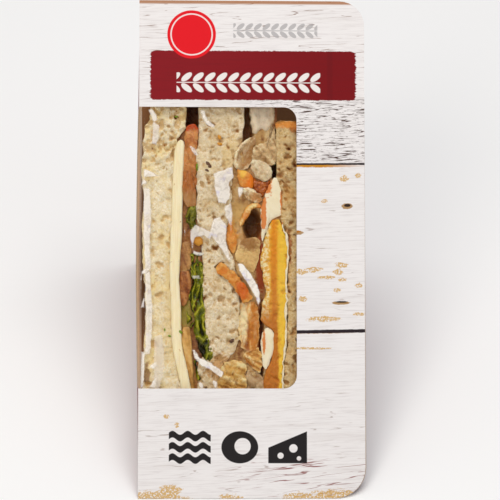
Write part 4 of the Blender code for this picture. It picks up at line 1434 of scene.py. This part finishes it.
def huskMaterial(name, one, other, roughness):
    # small grains: hard, slightly shiny husk
    at = startMaterial(name)
    mottle = add("TexNoise", at.mm, 1.2, 3.0)
    return finish(at, tinted(one, (mottle, other)), roughness, mottle, 0.1)


def makeBits(name, bit):
    # small uneven pebbles joined in one mesh
    random = np.random.default_rng(bit["seed"])
    places, faces = [], []
    for across, down, long, wide, turn in bit["places"]:
        bm = bmesh.new()
        bmesh.ops.create_icosphere(bm, subdivisions=2, radius=1.0)
        shape = np.array([vertex.co[:] for vertex in bm.verts])
        first = len(places) * len(shape)
        faces += [tuple(first + vertex.index for vertex in face.verts) for face in bm.faces]
        bm.free()
        shape = shape * (1 + 0.18 * random.uniform(-1, 1, (len(shape), 1)))
        x, y, z = shape.T * [[long], [wide], [wide * 0.6]]
        cos, sin = math.cos(math.radians(turn)), math.sin(math.radians(turn))
        inward = np.maximum(panel["face"] + 0.05 + z, 1.3)
        places.append(stacked(across + x * cos - y * sin, down + x * sin + y * cos, inward))
    makeMesh(name, np.vstack(places), faces, huskMaterial(bit["husk"], *bit["look"]), bit["slot"])


for name, bit in bits.items():
    makeBits(name, bit)
print("lettuce, seeds and crumbs made")


# Film: clear, with folds, and painted glare: milky white patches that stand for the light reflected in it
film = {
    "lap": 4.5,           # how far it reaches past the window
    "sideDeep": 26.5,
    "turn": 1.5,          # radius round the left fold
    "behindBoard": 0.3,
    "thick": 0.05,
    "stepMm": 0.7,
    "bow": 1.4,           # how far the left side stands out in its middle
    "wave": 0.16,
    "waveMm": 7.0,
}
glares = (                # painted glare: how milky white each patch is, and its corners
    (0.8, ((3.1, 39.4), (5.2, 39.7), (7.2, 43.5), (5.2, 44.3), (4.3, 42.5))),
    (0.7, ((5.0, 43.8), (7.6, 45.6), (7.3, 49.7), (6.3, 52.7), (4.5, 52.1), (4.9, 47.6))),
    (0.95, ((1.7, 61.1), (7.7, 63.7), (1.7, 64.5))),
    (0.9, ((-0.0, 67.4), (1.7, 64.5), (3.8, 66.5))),
    (0.85, ((1.7, 67.7), (4.1, 68.4), (4.7, 79.0), (4.2, 88.5), (4.5, 97.9), (2.4, 97.9), (1.6, 84.4))),
    (0.9, ((0.0, 104.7), (0.0, 100.0), (0.7, 98.3), (2.7, 97.5), (4.0, 98.1), (2.9, 99.0), (1.0, 99.4),
           (0.4, 102.0), (0.5, 104.7))),
    (0.95, ((-0.0, 111.4), (2.1, 107.4), (2.3, 111.4))),
    (0.8, ((2.4, 98.9), (4.2, 98.3), (5.1, 110.1), (5.0, 120.8), (4.4, 128.2), (2.4, 128.2), (2.7, 114.8))),
    (0.85, ((0.7, 126.9), (2.5, 127.9), (1.9, 140.4), (0.1, 140.4))),
    (0.4, ((5.6, 121.5), (8.6, 120.8), (9.7, 131.6), (7.7, 140.4), (5.6, 140.4))),
    (0.85, ((3.3, 132.9), (7.7, 129.9), (8.8, 130.8), (5.7, 133.5))),
    (0.85, ((4.0, 140.0), (5.7, 136.5), (8.1, 137.1), (7.6, 140.4))),
    (0.7, ((14.4, 93.2), (15.4, 95.4), (15.1, 97.4), (14.5, 97.3))),
    (0.8, ((16.0, 80.3), (17.0, 83.7), (17.2, 88.1), (16.5, 84.4))),
    (0.75, ((18.1, 52.7), (20.3, 53.4), (22.0, 56.9), (20.0, 56.2))),
    (0.95, ((21.8, 39.3), (23.8, 40.1), (25.1, 43.5), (27.6, 45.6), (27.0, 46.7), (24.7, 45.4),
           (23.2, 43.0))),
    (0.85, ((27.0, 62.8), (33.9, 60.2), (34.2, 64.1), (32.6, 66.5), (33.2, 70.8), (31.5, 73.9),
           (28.7, 73.4), (27.6, 69.4))),
    (0.8, ((30.7, 74.9), (33.4, 73.5), (33.9, 78.3), (33.4, 83.7), (32.3, 80.3), (31.0, 77.6))),
    (0.85, ((27.1, 79.1), (29.4, 78.4), (31.7, 81.7), (31.5, 87.1), (33.4, 94.6), (32.1, 94.3),
           (29.9, 90.5), (27.6, 87.4), (25.6, 84.4))),
    (0.9, ((35.6, 67.9), (38.0, 67.9), (36.8, 71.5), (36.4, 75.0))),
    (0.7, ((18.5, 83.7), (20.4, 81.3), (23.7, 82.8), (26.7, 84.4), (25.9, 87.2), (23.6, 85.6),
           (20.6, 85.9), (19.5, 88.5), (20.1, 91.2), (18.8, 89.5))),
    (0.8, ((19.2, 90.2), (20.6, 91.2), (23.9, 91.6), (22.8, 92.9), (19.8, 92.2))),
    (1.0, ((35.3, 95.2), (37.7, 95.5), (41.1, 99.8), (43.8, 105.2), (43.9, 109.5), (43.1, 110.6),
           (41.9, 107.4), (40.0, 103.7), (37.3, 100.0))),
    (0.95, ((19.2, 126.1), (20.4, 126.6), (22.1, 129.4), (25.6, 130.8), (30.9, 134.5), (29.8, 136.5),
           (26.2, 134.0), (22.9, 132.4), (20.2, 129.6))),
    (0.8, ((21.4, 137.5), (23.1, 138.5), (23.5, 140.4), (22.0, 140.4))),
    (0.85, ((26.4, 136.9), (28.2, 138.0), (28.9, 140.4), (27.4, 140.4))),
    (0.7, ((19.1, 99.6), (22.1, 99.8), (22.5, 101.0), (19.5, 101.0))),
)


def filmMaterial():
    # thin clear packing film: a mirror-like sheen, with painted glare, milky white patches over its raised
    # creases that stand for reflections
    at = startMaterial("clearPackingFilm")
    glareInside, strength = (add("Attribute", attribute_name=key) for key in ("glareInside", "strength"))
    sheen = add("LayerWeight", Blend=0.35) * 0.05
    gloss = add("BsdfGlossy", Color="#ffffff", Roughness=0.08)
    sheet = add("MixShader", sheen, add("BsdfTransparent", Color="#ffffff"), gloss)
    mottle = add("TexNoise", at.mm, 0.3, 2.0)
    # painted glare: lavender to cream white laid on the film where the patches are
    glareTint = tinted("#dfd9e4", (add("MapRange", mottle, 0.3, 0.42), "#f6eee3"))
    paintedGlare = add("BsdfPrincipled", Base_Color=glareTint, Roughness=0.3)
    torn = (add("TexNoise", at.mm, 0.6, 3.0) - 0.5) * 1.1
    facet = add("SeparateColor", add("TexVoronoi", at.mm, 0.42))
    streaks = add("TexNoise", at.mm, 0.45, 3.0, 0.6, 0.8) + (facet - 0.5) * 0.14
    thin = add("MapRange", streaks, 0.3, 0.56, 0.66, 1.0, interpolation_type="LINEAR")
    cover = add("MapRange", glareInside + torn, -0.12, 0.42) * thin * strength
    add("OutputMaterial", Surface=add("MixShader", cover, sheet, paintedGlare))
    return at.material


def depthInside(across, down, corners):
    # distance to the edge of a patch, positive inside it
    nearest, inside = 1e9, False
    for (u0, v0), (u1, v1) in zip(corners, corners[1:] + corners[:1]):
        du, dv = u1 - u0, v1 - v0
        share = np.clip(((across - u0) * du + (down - v0) * dv) / (du * du + dv * dv), 0, 1)
        nearest = np.minimum(nearest, np.hypot(across - u0 - du * share, down - v0 - dv * share))
        crosses = (v0 > down) != (v1 > down)
        inside = inside ^ (crosses & (across < u0 + (down - v0) * du / (dv or 1e-9)))
    return np.where(inside, nearest, -nearest)


def sideBow(down, inward):
    # how far the left side stands out: nothing at its folds and the most in its middle, where each of
    # the three shares is a third and 27 makes their product 1
    toFront = inward / (cardSlope / 2)
    toBase = (down - inward) / cardSlope
    return film["bow"] * 27 * np.clip(toFront * toBase * (1 - toFront - toBase), 0, None)


def makeFilm():
    # one sheet behind the window, round the left fold and behind the side opening
    start, turn, lap = panel["board"] + film["behindBoard"], film["turn"], film["lap"]
    flat = np.arange(panel["windowWidth"] + lap, start + turn, -film["stepMm"])
    bend = np.linspace(0, math.pi / 2, 7)[1:-1]
    side = np.linspace(turn, film["sideDeep"] - start, 18)
    across = np.concatenate([flat, [start + turn], start + turn - turn * np.sin(bend), np.full(18, start)])
    inward = np.concatenate([np.zeros(len(flat) + 1), turn - turn * np.cos(bend), side]) + start
    down = np.arange(panel["windowTop"] - lap, panel["windowBottom"] + lap, film["stepMm"])[:, None]
    glareInside, power, lift = -3.0, 0.0, 0.0
    unrolled = across - np.clip(inward - start, 0, None)
    for strength, corners in glares:
        within = depthInside(unrolled, down, corners)
        power = np.where(within > glareInside, strength, power)
        glareInside = np.maximum(glareInside, within)
        lift = np.maximum(lift, 0.25 * smoothStep(-0.6, 0.9, within))
    wave = film["wave"] * uneven(across, down * 0.4, inward, film["waveMm"], 3, 611)
    depth = inward + smoothStep(2.4, 1.2, inward) * np.clip(wave - lift * 0.6 + 0.1, -0.2, 0.35)
    bowed = across - sideBow(down, depth)
    nearSide = film["thick"] * smoothStep(start + turn, start, across)
    front = stacked(bowed, down, depth, glareInside, power)
    back = stacked(bowed + nearSide, down, depth + film["thick"] - nearSide, -3.0, 0.0)
    both, faces, material = np.stack([front, back]), sheetFaces(*depth.shape), filmMaterial()
    makeMesh("windowFilm", both, faces, material, "clear_film", "window_film", reads=("glareInside", "strength"))


makeFilm()
print("film made")
